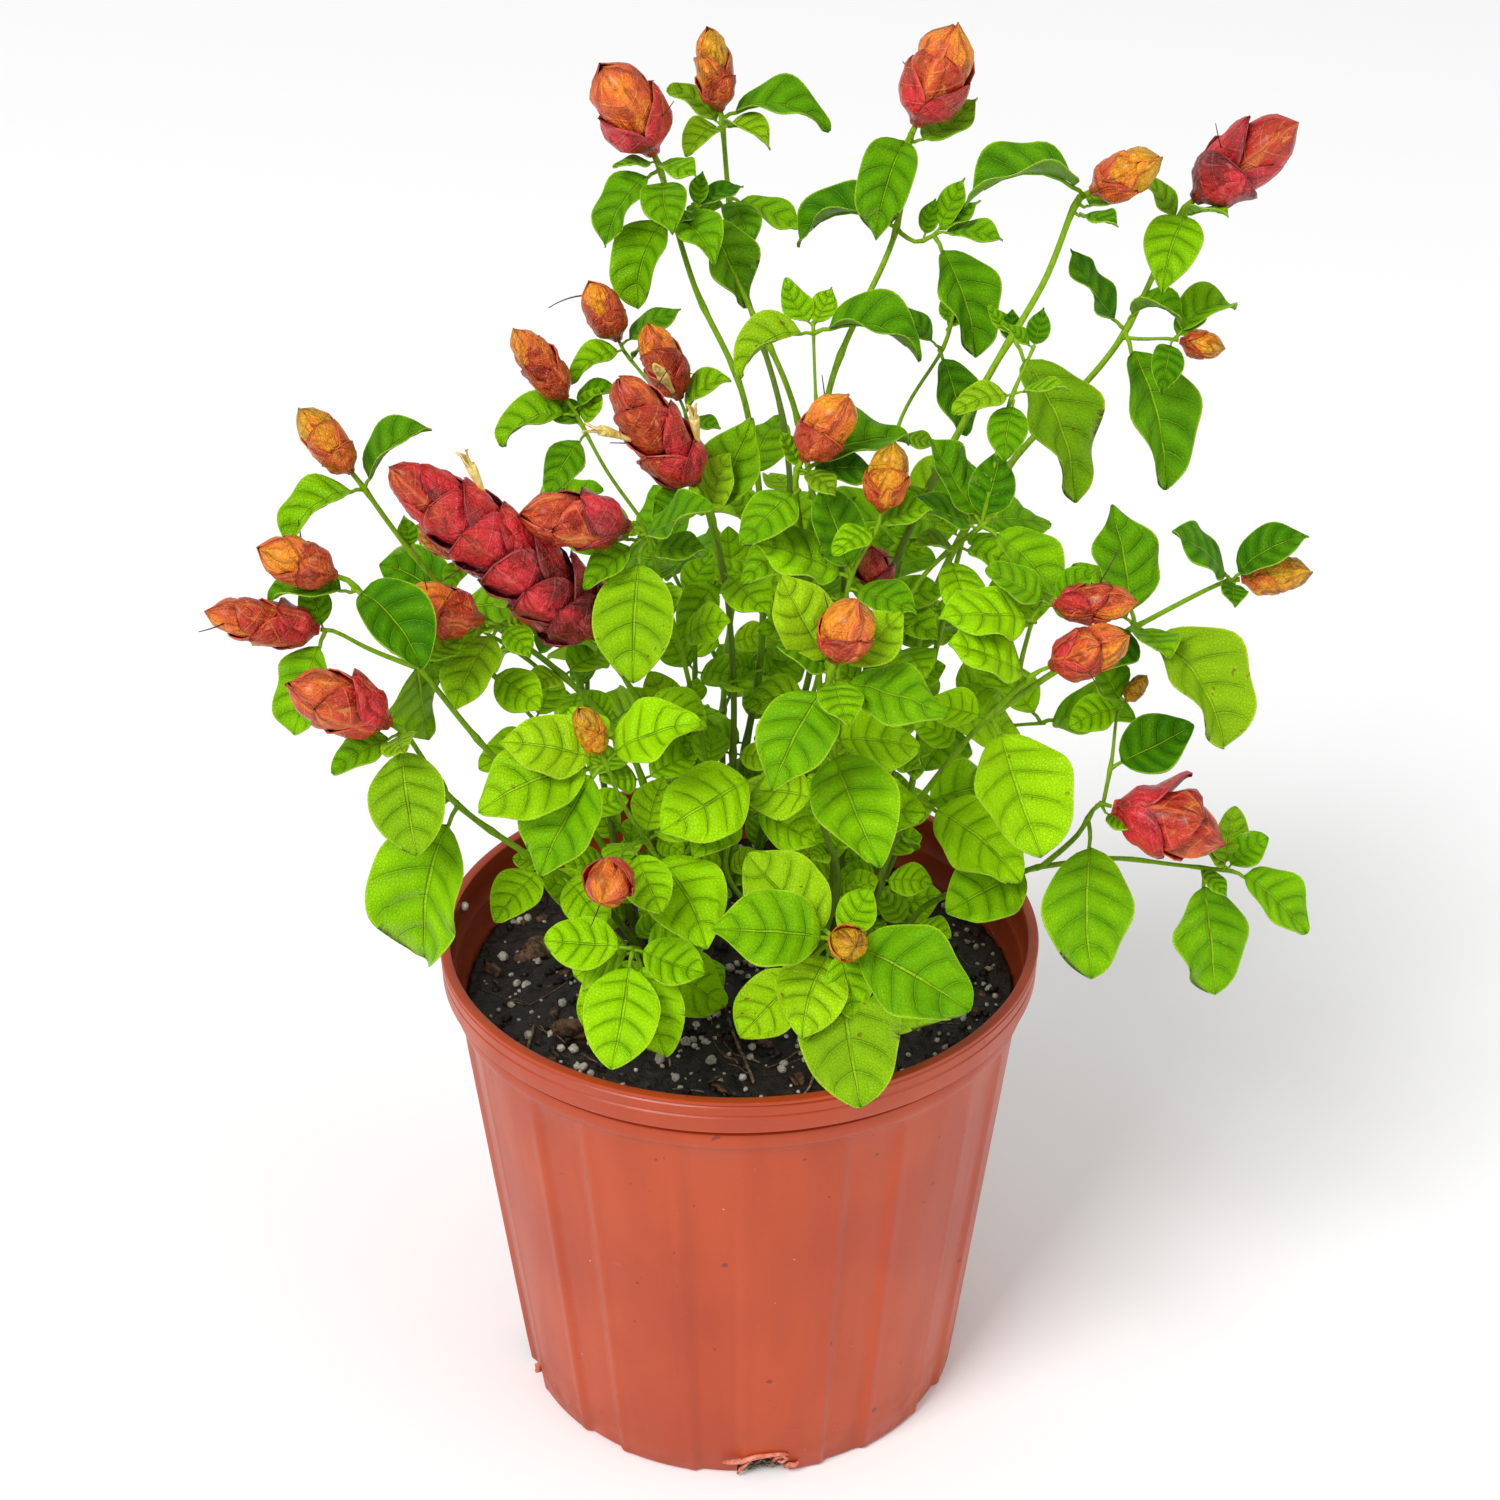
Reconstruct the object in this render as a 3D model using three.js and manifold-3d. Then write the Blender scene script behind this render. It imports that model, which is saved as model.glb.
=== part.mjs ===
// Shrimp plant in a fluted nursery pot. Millimetres, +Z up.
// The origin is on the pot's axis at its underside; -Y is the front.
import * as THREE from "three";
import { mergeVertices } from "three/addons/utils/BufferGeometryUtils.js";
import Module from "manifold-3d";

const wasm = await Module();
wasm.setup();

// ---- driving dimensions ----
const rimRadius = 108;
const potHeight = 187;
const footRadius = 82;
const wallThickness = 2.2;
const floorThickness = 2.5;
const collarHeight = 13;
const bandHeight = 8.5;
const collarStep = 3.6;
const bandStep = 2.6;
const lipWidth = 4;
const potSides = 33;
const fluteCount = 11;
const fluteTurn = 16.5;
const fluteDepth = 0.8;
const notchCount = 4;
const notchWidth = 19;
const notchHeight = 8;
const notchTurn = -84;
const soilTop = 163;
const soilLump = 1.6;
const soilSides = 20;
const fitGap = 0.35;
const holeDepth = 20;
const stemSides = 5;
const branchSides = 4;
const stemStep = 34;
const neckLength = 4;
const leafWidthShare = 0.68;
const slimPerHeight = 0.001;
const petioleShare = 0.15;
const petioleRadius = 0.8;
const bladeThickness = 1.3;
const leafShortest = 24;

// ---- how the plant grows ----
// Points are [x, y, z]. A leaf is [place along the stem, azimuth, pitch, length, arch], and a head is
// [azimuth, pitch, length, width, ripeness, bend]. Azimuth is 0 along +X and -90 toward the front.
const plants = [
  { "stems": [
    { "radius": 1.5,
      "points": [[-12, 34, soilTop], [8, 38, 285], [2, 68, 362], [-16, 80, 402], [-28, 90, 442]],
      "head": [-158, 66, 39, 25, 0.6, 10],
      "leaves": [[0.93, -125, -55, 35, 80], [0.92, -35, -10, 34, 70], [0.98, -145, -45, 32, 80],
        [0.97, -95, -20, 29, 50], [0.99, -45, 0, 20, 30], [0.99, -150, 5, 17, 30]] },
  ] },
  { "stems": [
    { "radius": 1.4,
      "points": [[4, 44, soilTop], [18, 54, 276], [16, 80, 347], [-1, 101, 404], [-6, 108, 451]],
      "head": [180, 82, 30, 15, 0.35, 0],
      "leaves": [[0.99, -9, -3, 38, 90], [0.98, 157, 28, 24, 60], [0.98, -46, -4, 24, 80],
        [0.98, -125, -10, 22, 80], [0.9, -12, -22, 30, 20], [0.9, -71, -40, 25, 50],
        [0.89, 166, -8, 16, 20]] },
    { "radius": 1.4, "from": [0, 0.1],
      "points": [[28, 46, 289], [20, 62, 360], [2, 74, 399], [-16, 82, 431]],
      "leaves": [[0.99, -50, -62, 40, 40], [0.99, 28, 16, 19, 40], [0.98, -151, -10, 14, 50],
        [0.99, 62, 69, 13, 10]] },
    { "radius": 0.9, "from": [0, 0.08], "points": [[31, 24, 300], [26, 36, 380], [25, 40, 404]],
      "leaves": [[0.98, -161, -25, 29, 90], [0.98, -13, -10, 37, 90], [0.99, 129, 42, 20, -20],
        [0.99, 63, 35, 17, -10]] },
  ] },
  { "stems": [
    { "radius": 1.5,
      "points": [[27, 38, soilTop], [38, 32, 288], [30, 47, 370], [54, 76, 423], [59, 88, 453]],
      "head": [-16, 67, 39, 24, 0.5, -6],
      "leaves": [[0.99, -122, -50, 39, 100], [0.98, 31, 24, 29, -20], [0.885, 172, -14, 34, 120]] },
    { "radius": 0.9, "from": [0, 0.885], "points": [[61, 70, 421], [68, 68, 425]],
      "leaves": [[0.9, -51, -58, 44, 50], [0.7, 47, 66, 14, 0], [0.98, 33, 58, 21, 10],
        [0.98, -16, 0, 23, 40], [0.9, 14, 33, 20, 30]] },
    { "radius": 1.3, "from": [0, 0.1], "points": [[27, 2, 298], [21, -6, 345], [19, -10, 372]],
      "head": [-15, 58, 29, 19, 0.5, 0],
      "leaves": [[0.94, -137, -21, 30, 30], [0.98, 150, 54, 14, 0], [0.98, -51, -11, 17, 30],
        [0.97, 18, 25, 42, 70], [0.97, 9, 11, 26, 30], [0.83, -147, -21, 26, 30], [0.81, 20, 42, 25, 20]] },
  ] },
  { "stems": [
    { "radius": 1.7,
      "points": [[36, 24, soilTop], [50, 20, 309], [82, 34, 381], [103, 44, 417], [114, 50, 444]],
      "head": [-15, 32, 27, 17, 0.25, 0],
      "leaves": [[0.99, -161, 4, 44, 110], [0.98, 38, 36, 27, 20], [0.97, -51, 6, 19, 40],
        [0.82, -46, -58, 60, 35], [0.82, 134, 34, 14, 10], [0.81, 74, 57, 12, 0],
        [0.63, -140, -26, 22, 40]] },
    { "radius": 1.0, "from": [0, 0.1],
      "points": [[46, 46, 300], [56, 56, 360], [71, 62, 386], [74, 64, 397]],
      "leaves": [[0.94, 165, 38, 22, 40], [0.98, 88, 50, 12, 0], [0.94, -56, -56, 32, 50],
        [0.78, -10, -7, 13, 20], [0.97, 25, 26, 17, 40]] },
    { "radius": 1.0, "from": [0, 0.13], "points": [[58, 22, 277], [52, 14, 300], [48, 9, 314]],
      "head": [180, 82, 17, 14, 0.85, 0],
      "leaves": [[0.94, 6, 11, 23, 20], [0.92, -31, -16, 22, 30]] },
  ] },
  { "stems": [
    { "radius": 1.6,
      "points": [[46, 12, soilTop], [67, 22, 308], [92, 44, 346], [131, 60, 388], [152, 68, 434]],
      "head": [-12, 46, 44, 24, 0.9, 8],
      "leaves": [[0.99, -112, -34, 36, 50], [0.98, -50, 16, 20, 50], [0.97, 151, 41, 24, 30],
        [0.84, 168, 55, 34, -10], [0.85, -23, 5, 19, 140], [0.84, -58, -60, 57, 40]] },
    { "radius": 0.8, "from": [0, 0.83], "points": [[139, 56, 391], [147, 54, 392]],
      "head": [-14, -5, 16, 11, 0.35, 0],
      "leaves": [[0.95, 5, -15, 30, 90], [0.9, -108, -44, 20, 70], [0.9, 31, 30, 18, 30]] },
  ] },
  { "stems": [
    { "radius": 1.3, "points": [[52, -4, soilTop], [51, -2, 300], [62, 2, 326], [84, -2, 350]],
      "leaves": [[0.98, 161, 57, 35, 10], [0.98, -31, -33, 40, 50], [0.97, -158, 27, 30, 30],
        [0.97, 0, 20, 24, 40], [0.98, 29, 51, 27, 10], [0.92, -150, 17, 18, 40], [0.92, -24, 4, 26, 30],
        [0.9, -76, -37, 26, 40]] },
    { "radius": 0.9, "from": [0, 0.98], "points": [[86, 4, 372], [90, 6, 390], [97, 8, 408]],
      "leaves": [[0.72, -160, -7, 23, 50], [0.73, -28, 16, 19, 40], [0.7, -104, -43, 22, 40],
        [0.98, 53, 67, 14, 0], [0.98, 168, 39, 14, 30]] },
  ] },
  { "stems": [
    { "radius": 1.5, "points": [[44, -22, soilTop], [52, -26, 234], [74, -36, 281], [86, -42, 300]],
      "leaves": [[0.97, -63, -46, 50, 30], [0.96, 152, -3, 24, 20], [0.84, 145, 15, 19, 30],
        [0.66, -30, -28, 44, 25], [0.64, 22, 12, 36, 20], [0.6, 159, 26, 24, 30]] },
    { "radius": 1.1, "from": [0, 0.98], "points": [[92, -46, 310], [98, -50, 318]],
      "head": [-19, 32, 30, 18, 0.6, 0],
      "leaves": [[0.7, -163, 31, 34, 30]] },
    { "radius": 1.0, "from": [1, 0.45], "points": [[94, -40, 322], [99, -34, 334]],
      "head": [-12, 8, 28, 15, 0.65, 0],
      "leaves": [[0.75, -160, 13, 37, 40], [0.98, 168, 27, 25, 20], [0.98, 8, 40, 19, 20]] },
    { "radius": 1.2, "from": [0, 0.97], "points": [[107, -28, 307], [134, -14, 316], [165, -4, 328]],
      "head": [-5, 10, 24, 14, 0.15, 0],
      "leaves": [[0.6, 113, 61, 42, 10], [0.6, 145, 32, 30, 20], [0.6, -40, -41, 50, 75],
        [0.6, -71, 2, 25, 30], [0.6, -126, -12, 25, 30], [0.97, -165, 44, 32, 30], [0.98, -97, -7, 15, 30],
        [0.97, 21, 10, 34, 60]] },
  ] },
  { "stems": [
    { "radius": 1.5,
      "points": [[40, 4, soilTop], [58, 4, 225], [66, 30, 262], [76, 52, 300], [82, 62, 322]],
      "leaves": [[0.98, 20, -10, 34, 40], [0.97, 200, 10, 30, 30], [0.98, 100, 20, 36, 40],
        [0.97, -80, 35, 26, 30], [0.8, 60, -20, 36, 40], [0.8, 150, 5, 30, 40], [0.6, 10, -25, 40, 40],
        [0.6, 190, 10, 26, 30]] },
  ] },
  { "stems": [
    { "radius": 1.4, "points": [[54, -14, soilTop], [62, -14, 200], [78, -24, 218], [106, -34, 234]],
      "leaves": [[0.96, -149, -9, 38, 20]] },
    { "radius": 1.1, "from": [0, 0.98], "points": [[115, -38, 248], [122, -40, 262]],
      "head": [-15, -8, 40, 24, 0.65, 8],
      "leaves": [[0.7, -89, -58, 52, 20], [0.9, -52, 1, 14, 30]] },
    { "radius": 1.0, "from": [0, 0.97], "points": [[128, -33, 236], [150, -34, 234], [170, -35, 232]],
      "leaves": [[0.84, -76, -64, 44, 15], [0.82, -47, -24, 14, 20], [0.95, 62, 73, 23, 20],
        [0.97, 11, 40, 18, 60], [0.98, -21, -34, 34, 60], [0.98, 170, 40, 18, 30]] },
    { "radius": 0.8, "from": [1, 0.85], "points": [[126, -32, 274], [128, -26, 290]],
      "head": [0, 58, 12, 7, 0, 0],
      "leaves": [[0.4, 8, 28, 32, 20], [0.96, -166, -16, 20, 20], [0.94, 148, 55, 25, 10]] },
  ] },
  { "stems": [
    { "radius": 1.4,
      "points": [[-30, 18, soilTop], [-36, 6, 250], [-60, -2, 290], [-101, -14, 333], [-124, -18, 371]],
      "head": [-165, 58, 29, 14, 0.3, 0],
      "leaves": [[0.97, 16, 39, 30, 70], [0.97, -143, -22, 32, 85], [0.86, 130, 76, 12, 0]] },
    { "radius": 1.0, "from": [0, 0.68], "points": [[-80, -16, 317], [-82, -22, 321]],
      "head": [-165, 22, 30, 20, 0.55, 0],
      "leaves": [[0.5, -16, 16, 26, 50], [0.5, -45, -23, 16, 40], [0.5, -124, -39, 33, 40],
        [0.3, 165, -26, 34, 40]] },
  ] },
  { "stems": [
    { "radius": 1.4,
      "points": [[-36, 6, soilTop], [-52, -10, 234], [-81, -24, 268], [-106, -33, 310], [-127, -38, 345]],
      "head": [-166, 28, 28, 17, 0.5, 0],
      "leaves": [[0.97, -38, -32, 36, 90], [0.96, -172, -7, 29, 60], [0.81, 169, 50, 18, 20],
        [0.81, 83, -70, 40, 30], [0.8, 38, 16, 19, 30]] },
    { "radius": 1.0, "from": [0, 0.79], "points": [[-122, -33, 317], [-134, -33, 324]],
      "head": [-171, 11, 38, 17, 0.55, -8],
      "leaves": [[0.96, 140, 60, 18, 0], [0.95, -133, -63, 36, 30]] },
  ] },
  { "stems": [
    { "radius": 1.4,
      "points": [[-32, -8, soilTop], [-48, -24, 212], [-70, -40, 240], [-95, -52, 270], [-110, -60, 302]],
      "head": [-165, 34, 38, 22, 0.55, 6],
      "leaves": [[0.76, -128, -68, 55, 70], [0.97, -75, -52, 40, 20], [0.97, -160, -12, 25, 30],
        [0.97, -79, 11, 19, 20], [0.5, -132, -23, 27, 30], [0.45, -53, -18, 27, 40], [0.5, 167, 8, 12, 20],
        [0.76, 150, -20, 30, 40]] },
  ] },
  { "stems": [
    { "radius": 1.0,
      "points": [[-22, 12, soilTop], [-36, 2, 215], [-53, -3, 248], [-74, -8, 281], [-88, -12, 301]],
      "leaves": [[0.76, -157, -19, 26, 20], [0.97, -37, -17, 24, 30], [0.8, 41, 59, 20, 10],
        [0.97, 160, 0, 28, 40]] },
  ] },
  { "stems": [
    { "radius": 1.4, "points": [[-12, 40, soilTop], [-14, 22, 236], [-38, 2, 284], [-45, -10, 308]],
      "head": [-165, 50, 97, 30, 0.95, 8],
      "leaves": [[0.95, -135, 70, 26, 20], [0.76, -30, -9, 27, 40], [0.74, 148, -40, 32, 30],
        [0.61, 135, 61, 25, 20]] },
    { "radius": 0.8, "from": [0, 0.73], "points": [[-50, 20, 290], [-76, 26, 306], [-92, 28, 320]],
      "head": [180, 34, 20, 12, 0.35, 0],
      "leaves": [[0.97, -127, -40, 15, 50]] },
  ] },
  { "stems": [
    { "radius": 1.4, "points": [[-6, 24, soilTop], [-2, 20, 269], [-5, 18, 317], [-12, 14, 353]],
      "head": [-161, 53, 50, 23, 0.8, -10],
      "leaves": [[0.92, 44, 57, 38, 10], [0.92, 0, 50, 26, 20], [0.95, -128, 27, 28, 30],
        [0.81, -50, -14, 26, 30], [0.8, -142, -44, 26, 40]] },
    { "radius": 0.9, "from": [0, 0.79], "points": [[-12, 34, 340], [-17, 44, 360], [-19, 46, 369]],
      "head": [180, 69, 30, 16, 0.55, 0],
      "leaves": [[0.9, -7, 42, 22, 80], [0.88, -20, -2, 13, 30], [0.84, 152, -24, 16, 40]] },
    { "radius": 0.8, "from": [1, 0.79], "points": [[-27, 52, 371], [-35, 58, 379], [-40, 60, 385]],
      "head": [180, 66, 24, 15, 0.55, 0],
      "leaves": [[0.9, -150, -19, 23, 80], [0.96, 17, 27, 24, 30], [0.82, -37, 52, 11, 20]] },
    { "radius": 1.2, "from": [0, 0.12],
      "points": [[-9, 14, 230], [-19, 5, 292], [-27, -8, 332], [-32, -14, 352]],
      "head": [-167, 16, 38, 21, 0.7, 6],
      "leaves": [[0.97, -28, 32, 34, 10], [0.95, -95, -54, 46, 30], [0.96, -150, -19, 24, 30],
        [0.93, -14, 9, 22, 20], [0.96, 172, -8, 32, 20]] },
  ] },
  { "stems": [
    { "radius": 1.0,
      "points": [[-30, 34, soilTop], [-16, 30, 289], [-27, 31, 322], [-46, 34, 352], [-57, 40, 372]],
      "head": [180, 57, 31, 15, 0.5, 0],
      "leaves": [[0.97, -176, -9, 28, 90], [0.95, 151, 35, 18, 10], [0.95, 34, 62, 16, 0],
        [0.94, -134, -44, 25, 40], [0.98, 29, 17, 19, 50]] },
  ] },
  { "stems": [
    { "radius": 1.0, "points": [[33, -2, soilTop], [34, -12, 303], [37, -18, 335], [46, -22, 358]],
      "head": [0, 82, 25, 15, 0.25, 0],
      "leaves": [[0.86, -169, 26, 38, 20], [0.86, 154, 57, 34, 10], [0.97, -136, -10, 20, 30],
        [0.97, 0, 19, 20, 30], [0.84, -30, -6, 26, 30]] },
  ] },
  { "stems": [
    { "radius": 1.5,
      "points": [[24, -16, soilTop], [34, -28, 222], [28, -50, 262], [28, -68, 300], [29, -82, 335]],
      "head": [-29, 71, 25, 20, 0.5, 0],
      "leaves": [[0.97, 145, 67, 36, 10], [0.98, 26, 65, 32, -10], [0.96, -125, -37, 42, 30],
        [0.96, -77, -16, 22, 20], [0.97, -166, 34, 22, 20], [0.79, -63, -35, 46, 40],
        [0.95, -12, -12, 38, 25],
        [0.8, 17, -15, 34, 20], [0.62, 162, -6, 30, 20], [0.6, -5, -2, 34, 10]] },
    { "radius": 1.0, "from": [0, 0.1], "points": [[-4, -34, 230], [2, -48, 264], [10, -58, 287]],
      "leaves": [[0.95, -150, -14, 40, 30], [0.98, 55, 57, 23, 10], [0.78, -133, -14, 26, 30],
        [0.8, 0, -31, 27, 20], [0.7, 164, 40, 24, 20]] },
  ] },
  { "stems": [
    { "radius": 1.0, "points": [[14, -30, soilTop], [20, -48, 190], [25, -74, 222], [32, -96, 244]],
      "head": [-74, 25, 17, 13, 0.05, 0],
      "leaves": [[0.97, -19, -21, 48, 35], [0.97, -171, 12, 42, 30], [0.96, 142, 40, 42, 10],
        [0.98, 39, 48, 20, 20], [0.96, -37, -32, 28, 20], [0.92, -72, -58, 54, 30], [0.9, -110, -43, 34, 20],
        [0.6, -157, -40, 34, 30], [0.7, 2, -32, 50, 30]] },
  ] },
  { "stems": [
    { "radius": 1.1,
      "points": [[-14, -18, soilTop], [-17, -36, 211], [-30, -60, 258], [-38, -66, 277], [-43, -72, 296]],
      "head": [-163, 69, 19, 11, 0.1, 0],
      "leaves": [[0.97, -125, -48, 42, 50], [0.97, -8, 29, 36, 60], [0.98, 152, 50, 26, 10],
        [0.97, 170, -8, 35, 30], [0.96, -165, -14, 44, 40], [0.68, -54, -35, 40, 30], [0.71, 64, 50, 22, 10],
        [0.7, 19, 15, 26, 20]] },
    { "radius": 0.9, "from": [0, 0.7], "points": [[-33, -72, 266], [-38, -86, 271]],
      "head": [-105, -14, 20, 17, 0.65, 0],
      "leaves": [[0.6, -58, -42, 24, 20]] },
  ] },
  { "stems": [
    { "radius": 1.0, "points": [[-28, -30, soilTop], [-30, -54, 203], [-33, -68, 221], [-36, -80, 230]],
      "leaves": [[0.97, 170, 0, 30, 20], [0.97, -18, -10, 26, 20], [0.95, -106, -50, 40, 20],
        [0.9, -60, -45, 36, 30], [0.9, 156, -35, 28, 30], [0.86, 27, -6, 26, 20], [0.7, 8, -39, 34, 30],
        [0.6, -150, -30, 30, 30]] },
  ] },
  { "stems": [
    { "radius": 1.4, "points": [[-44, 42, soilTop], [-56, 64, 238], [-78, 92, 300]],
      "pairs": [0.45, 3, 38, 20] },
    { "radius": 1.0, "from": [0, 0.54], "points": [[-82, 70, 262], [-106, 62, 282]],
      "pairs": [0.6, 2, 34, 70] },
    { "radius": 1.0, "from": [0, 0.54], "points": [[-56, 96, 262], [-48, 118, 276]],
      "pairs": [0.6, 2, 32, 50] },
  ] },
  { "stems": [
    { "radius": 1.4, "points": [[-6, 60, soilTop], [-6, 84, 240], [4, 116, 312]],
      "pairs": [0.45, 3, 38, 65] },
    { "radius": 1.0, "from": [0, 0.52], "points": [[-20, 118, 262], [-24, 142, 268]],
      "pairs": [0.6, 2, 36, 20] },
    { "radius": 1.0, "from": [0, 0.52], "points": [[22, 104, 256], [38, 136, 258]],
      "pairs": [0.6, 2, 36, 80] },
  ] },
  { "stems": [
    { "radius": 1.4, "points": [[34, 64, soilTop], [50, 84, 240], [64, 108, 300]],
      "pairs": [0.45, 3, 38, 35] },
    { "radius": 1.0, "from": [0, 0.57], "points": [[84, 92, 262], [112, 84, 276]],
      "pairs": [0.6, 2, 34, 10] },
    { "radius": 1.0, "from": [0, 0.48], "points": [[76, 52, 240], [110, 34, 252]],
      "pairs": [0.6, 2, 34, 60] },
  ] },
];

// Tubular flowers: [head, place along it, turn round it, length].
const corollas = [[18, 0.68, 80, 22], [20, 0.6, -70, 20], [20, 0.25, 70, 20], [21, 0.2, 0, 18]];

// ---- solids ----
const radians = (degrees) => degrees * Math.PI / 180;
const vector = (point) => new THREE.Vector3(...point);

function bearing(azimuth, pitch) {
  const flat = Math.cos(radians(pitch));
  return new THREE.Vector3(flat * Math.cos(radians(azimuth)), flat * Math.sin(radians(azimuth)),
    Math.sin(radians(pitch)));
}

function solidOf(vertices, triangles) {
  return new wasm.Manifold(new wasm.Mesh({
    numProp: 3,
    vertProperties: new Float32Array(vertices.flatMap((point) => [point.x, point.y, point.z])),
    triVerts: new Uint32Array(triangles.flat()),
  }));
}

// Closes a list of rings with the same number of points. A ring of one point is an apex. A blade's
// under side is split along the same lines as its upper side.
function skin(rings, isBlade = false) {
  const vertices = [];
  const triangles = [];
  const starts = rings.map((ring) => {
    const start = vertices.length;
    vertices.push(...ring);
    return start;
  });
  for (let row = 0; row + 1 < rings.length; row += 1) {
    const [near, far] = [rings[row].length, rings[row + 1].length];
    const count = Math.max(near, far);
    for (let side = 0; side < count; side += 1) {
      const next = (side + 1) % count;
      const a = starts[row] + (near > 1 ? side : 0);
      const b = starts[row] + (near > 1 ? next : 0);
      const c = starts[row + 1] + (far > 1 ? next : 0);
      const d = starts[row + 1] + (far > 1 ? side : 0);
      const isUnderSide = isBlade && near > 1 && far > 1 && side >= count / 2;
      if (isUnderSide) {
        triangles.push([a, b, d], [b, c, d]);
        continue;
      }
      if (near > 1) triangles.push([a, b, c]);
      if (far > 1) triangles.push([a, c, d]);
    }
  }
  const last = rings.length - 1;
  for (let side = 1; side + 1 < rings[0].length; side += 1) {
    triangles.push([0, side + 1, side]);
  }
  for (let side = 1; side + 1 < rings[last].length; side += 1) {
    triangles.push([starts[last], starts[last] + side, starts[last] + side + 1]);
  }
  return solidOf(vertices, triangles);
}

// Points of a ring round the centre, counted from across toward over.
function ringAt(centre, across, over, radius, sides) {
  return Array.from({ length: sides }, (_, side) => {
    const angle = side * 2 * Math.PI / sides;
    return centre.clone().addScaledVector(across, radius * Math.cos(angle))
      .addScaledVector(over, radius * Math.sin(angle));
  });
}

// A point on a line that starts at the base and bends down evenly, with its chord at the given pitch.
function alongArc(base, azimuth, pitch, length, arch, share) {
  const bend = radians(Math.abs(arch) < 1 ? 1 : arch);
  const start = radians(pitch) + bend / 2;
  const scale = length / (2 * Math.sin(bend / 2));
  const out = scale * (Math.sin(start) - Math.sin(start - bend * share));
  const rise = scale * (Math.cos(start - bend * share) - Math.cos(start));
  const place = base.clone().addScaledVector(bearing(azimuth, 0), out);
  place.z += rise;
  return { place, direction: bearing(azimuth, pitch + arch * (0.5 - share)) };
}

function solidFromGeometry(geometry) {
  geometry.deleteAttribute("normal");
  geometry.deleteAttribute("uv");
  const merged = mergeVertices(geometry, 1e-3);
  return new wasm.Manifold(new wasm.Mesh({
    numProp: 3,
    vertProperties: merged.attributes.position.array,
    triVerts: new Uint32Array(merged.index.array),
  }));
}

// Keeps the largest body, so that loose scraps go and sealed hollows are filled.
function wholeBody(solid) {
  const bodies = solid.decompose();
  return bodies.reduce((best, body) => (body.volume() > best.volume() ? body : best));
}

function meshOf(name, solid, material) {
  const body = solid.getMesh();
  const geometry = new THREE.BufferGeometry();
  geometry.setAttribute("position", new THREE.BufferAttribute(new Float32Array(body.vertProperties), 3));
  geometry.setIndex(new THREE.BufferAttribute(new Uint32Array(body.triVerts), 1));
  geometry.computeVertexNormals();
  const mesh = new THREE.Mesh(geometry, material);
  mesh.name = name;
  return mesh;
}

// ---- pot and soil ----
const wallTop = potHeight - collarHeight - bandHeight - 2;
const wallTopRadius = rimRadius - collarStep - bandStep;
const innerSlope = (wallTopRadius - footRadius) / wallTop;
const innerRadiusAt = (z) => footRadius - wallThickness + innerSlope * z;

function potSolid() {
  const collarFoot = potHeight - collarHeight;
  const bandFoot = collarFoot - bandHeight;
  const outline = [
    [0, 0], [footRadius - 2, 0], [footRadius, 1.5], [wallTopRadius, wallTop],
    [rimRadius - collarStep - 0.4, bandFoot], [rimRadius - collarStep, collarFoot - 1],
    [rimRadius - 0.4, collarFoot], [rimRadius, potHeight - 1], [rimRadius - 1.2, potHeight],
    [rimRadius - lipWidth, potHeight - 1], [rimRadius - collarStep - wallThickness, collarFoot - 2],
    [innerRadiusAt(wallTop), wallTop - 1], [innerRadiusAt(floorThickness), floorThickness],
    [0, floorThickness],
  ].map(([radius, z]) => new THREE.Vector2(radius, z));
  const shell = new THREE.LatheGeometry(outline, potSides, radians(fluteTurn));
  const spots = shell.attributes.position;
  const sidesPerFlute = potSides / fluteCount;
  for (let row = 0; row < spots.count; row += 1) {
    const point = outline[row % outline.length];
    const column = Math.floor(row / outline.length) % sidesPerFlute;
    const isOutside = point.x > innerRadiusAt(point.y) + wallThickness / 3;
    const isOuterWall = isOutside && point.x >= footRadius - 2 && point.y <= wallTop;
    if (isOuterWall && column === 1) {
      const shrink = (point.x - fluteDepth) / point.x;
      spots.setX(row, spots.getX(row) * shrink);
      spots.setZ(row, spots.getZ(row) * shrink);
    }
  }
  shell.rotateX(Math.PI / 2);
  let pot = solidFromGeometry(shell);
  for (let notch = 0; notch < notchCount; notch += 1) {
    pot = pot.subtract(notchCutter(notchTurn + notch * 360 / notchCount));
  }
  return pot;
}

// An arched bar that cuts a drain notch through the foot of the wall.
function notchCutter(turn) {
  const arch = new THREE.Shape();
  arch.moveTo(-notchWidth / 2, -1);
  arch.lineTo(notchWidth / 2, -1);
  arch.lineTo(notchWidth / 2.3, notchHeight * 0.6);
  arch.lineTo(notchWidth / 5, notchHeight);
  arch.lineTo(-notchWidth / 4, notchHeight * 0.95);
  arch.lineTo(-notchWidth / 2.2, notchHeight * 0.5);
  const bar = new THREE.ExtrudeGeometry(arch, { depth: 14, bevelEnabled: false });
  bar.rotateX(Math.PI / 2);
  bar.translate(0, footRadius + 6, 0);
  bar.rotateZ(radians(turn - 90));
  return solidFromGeometry(bar);
}

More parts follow.
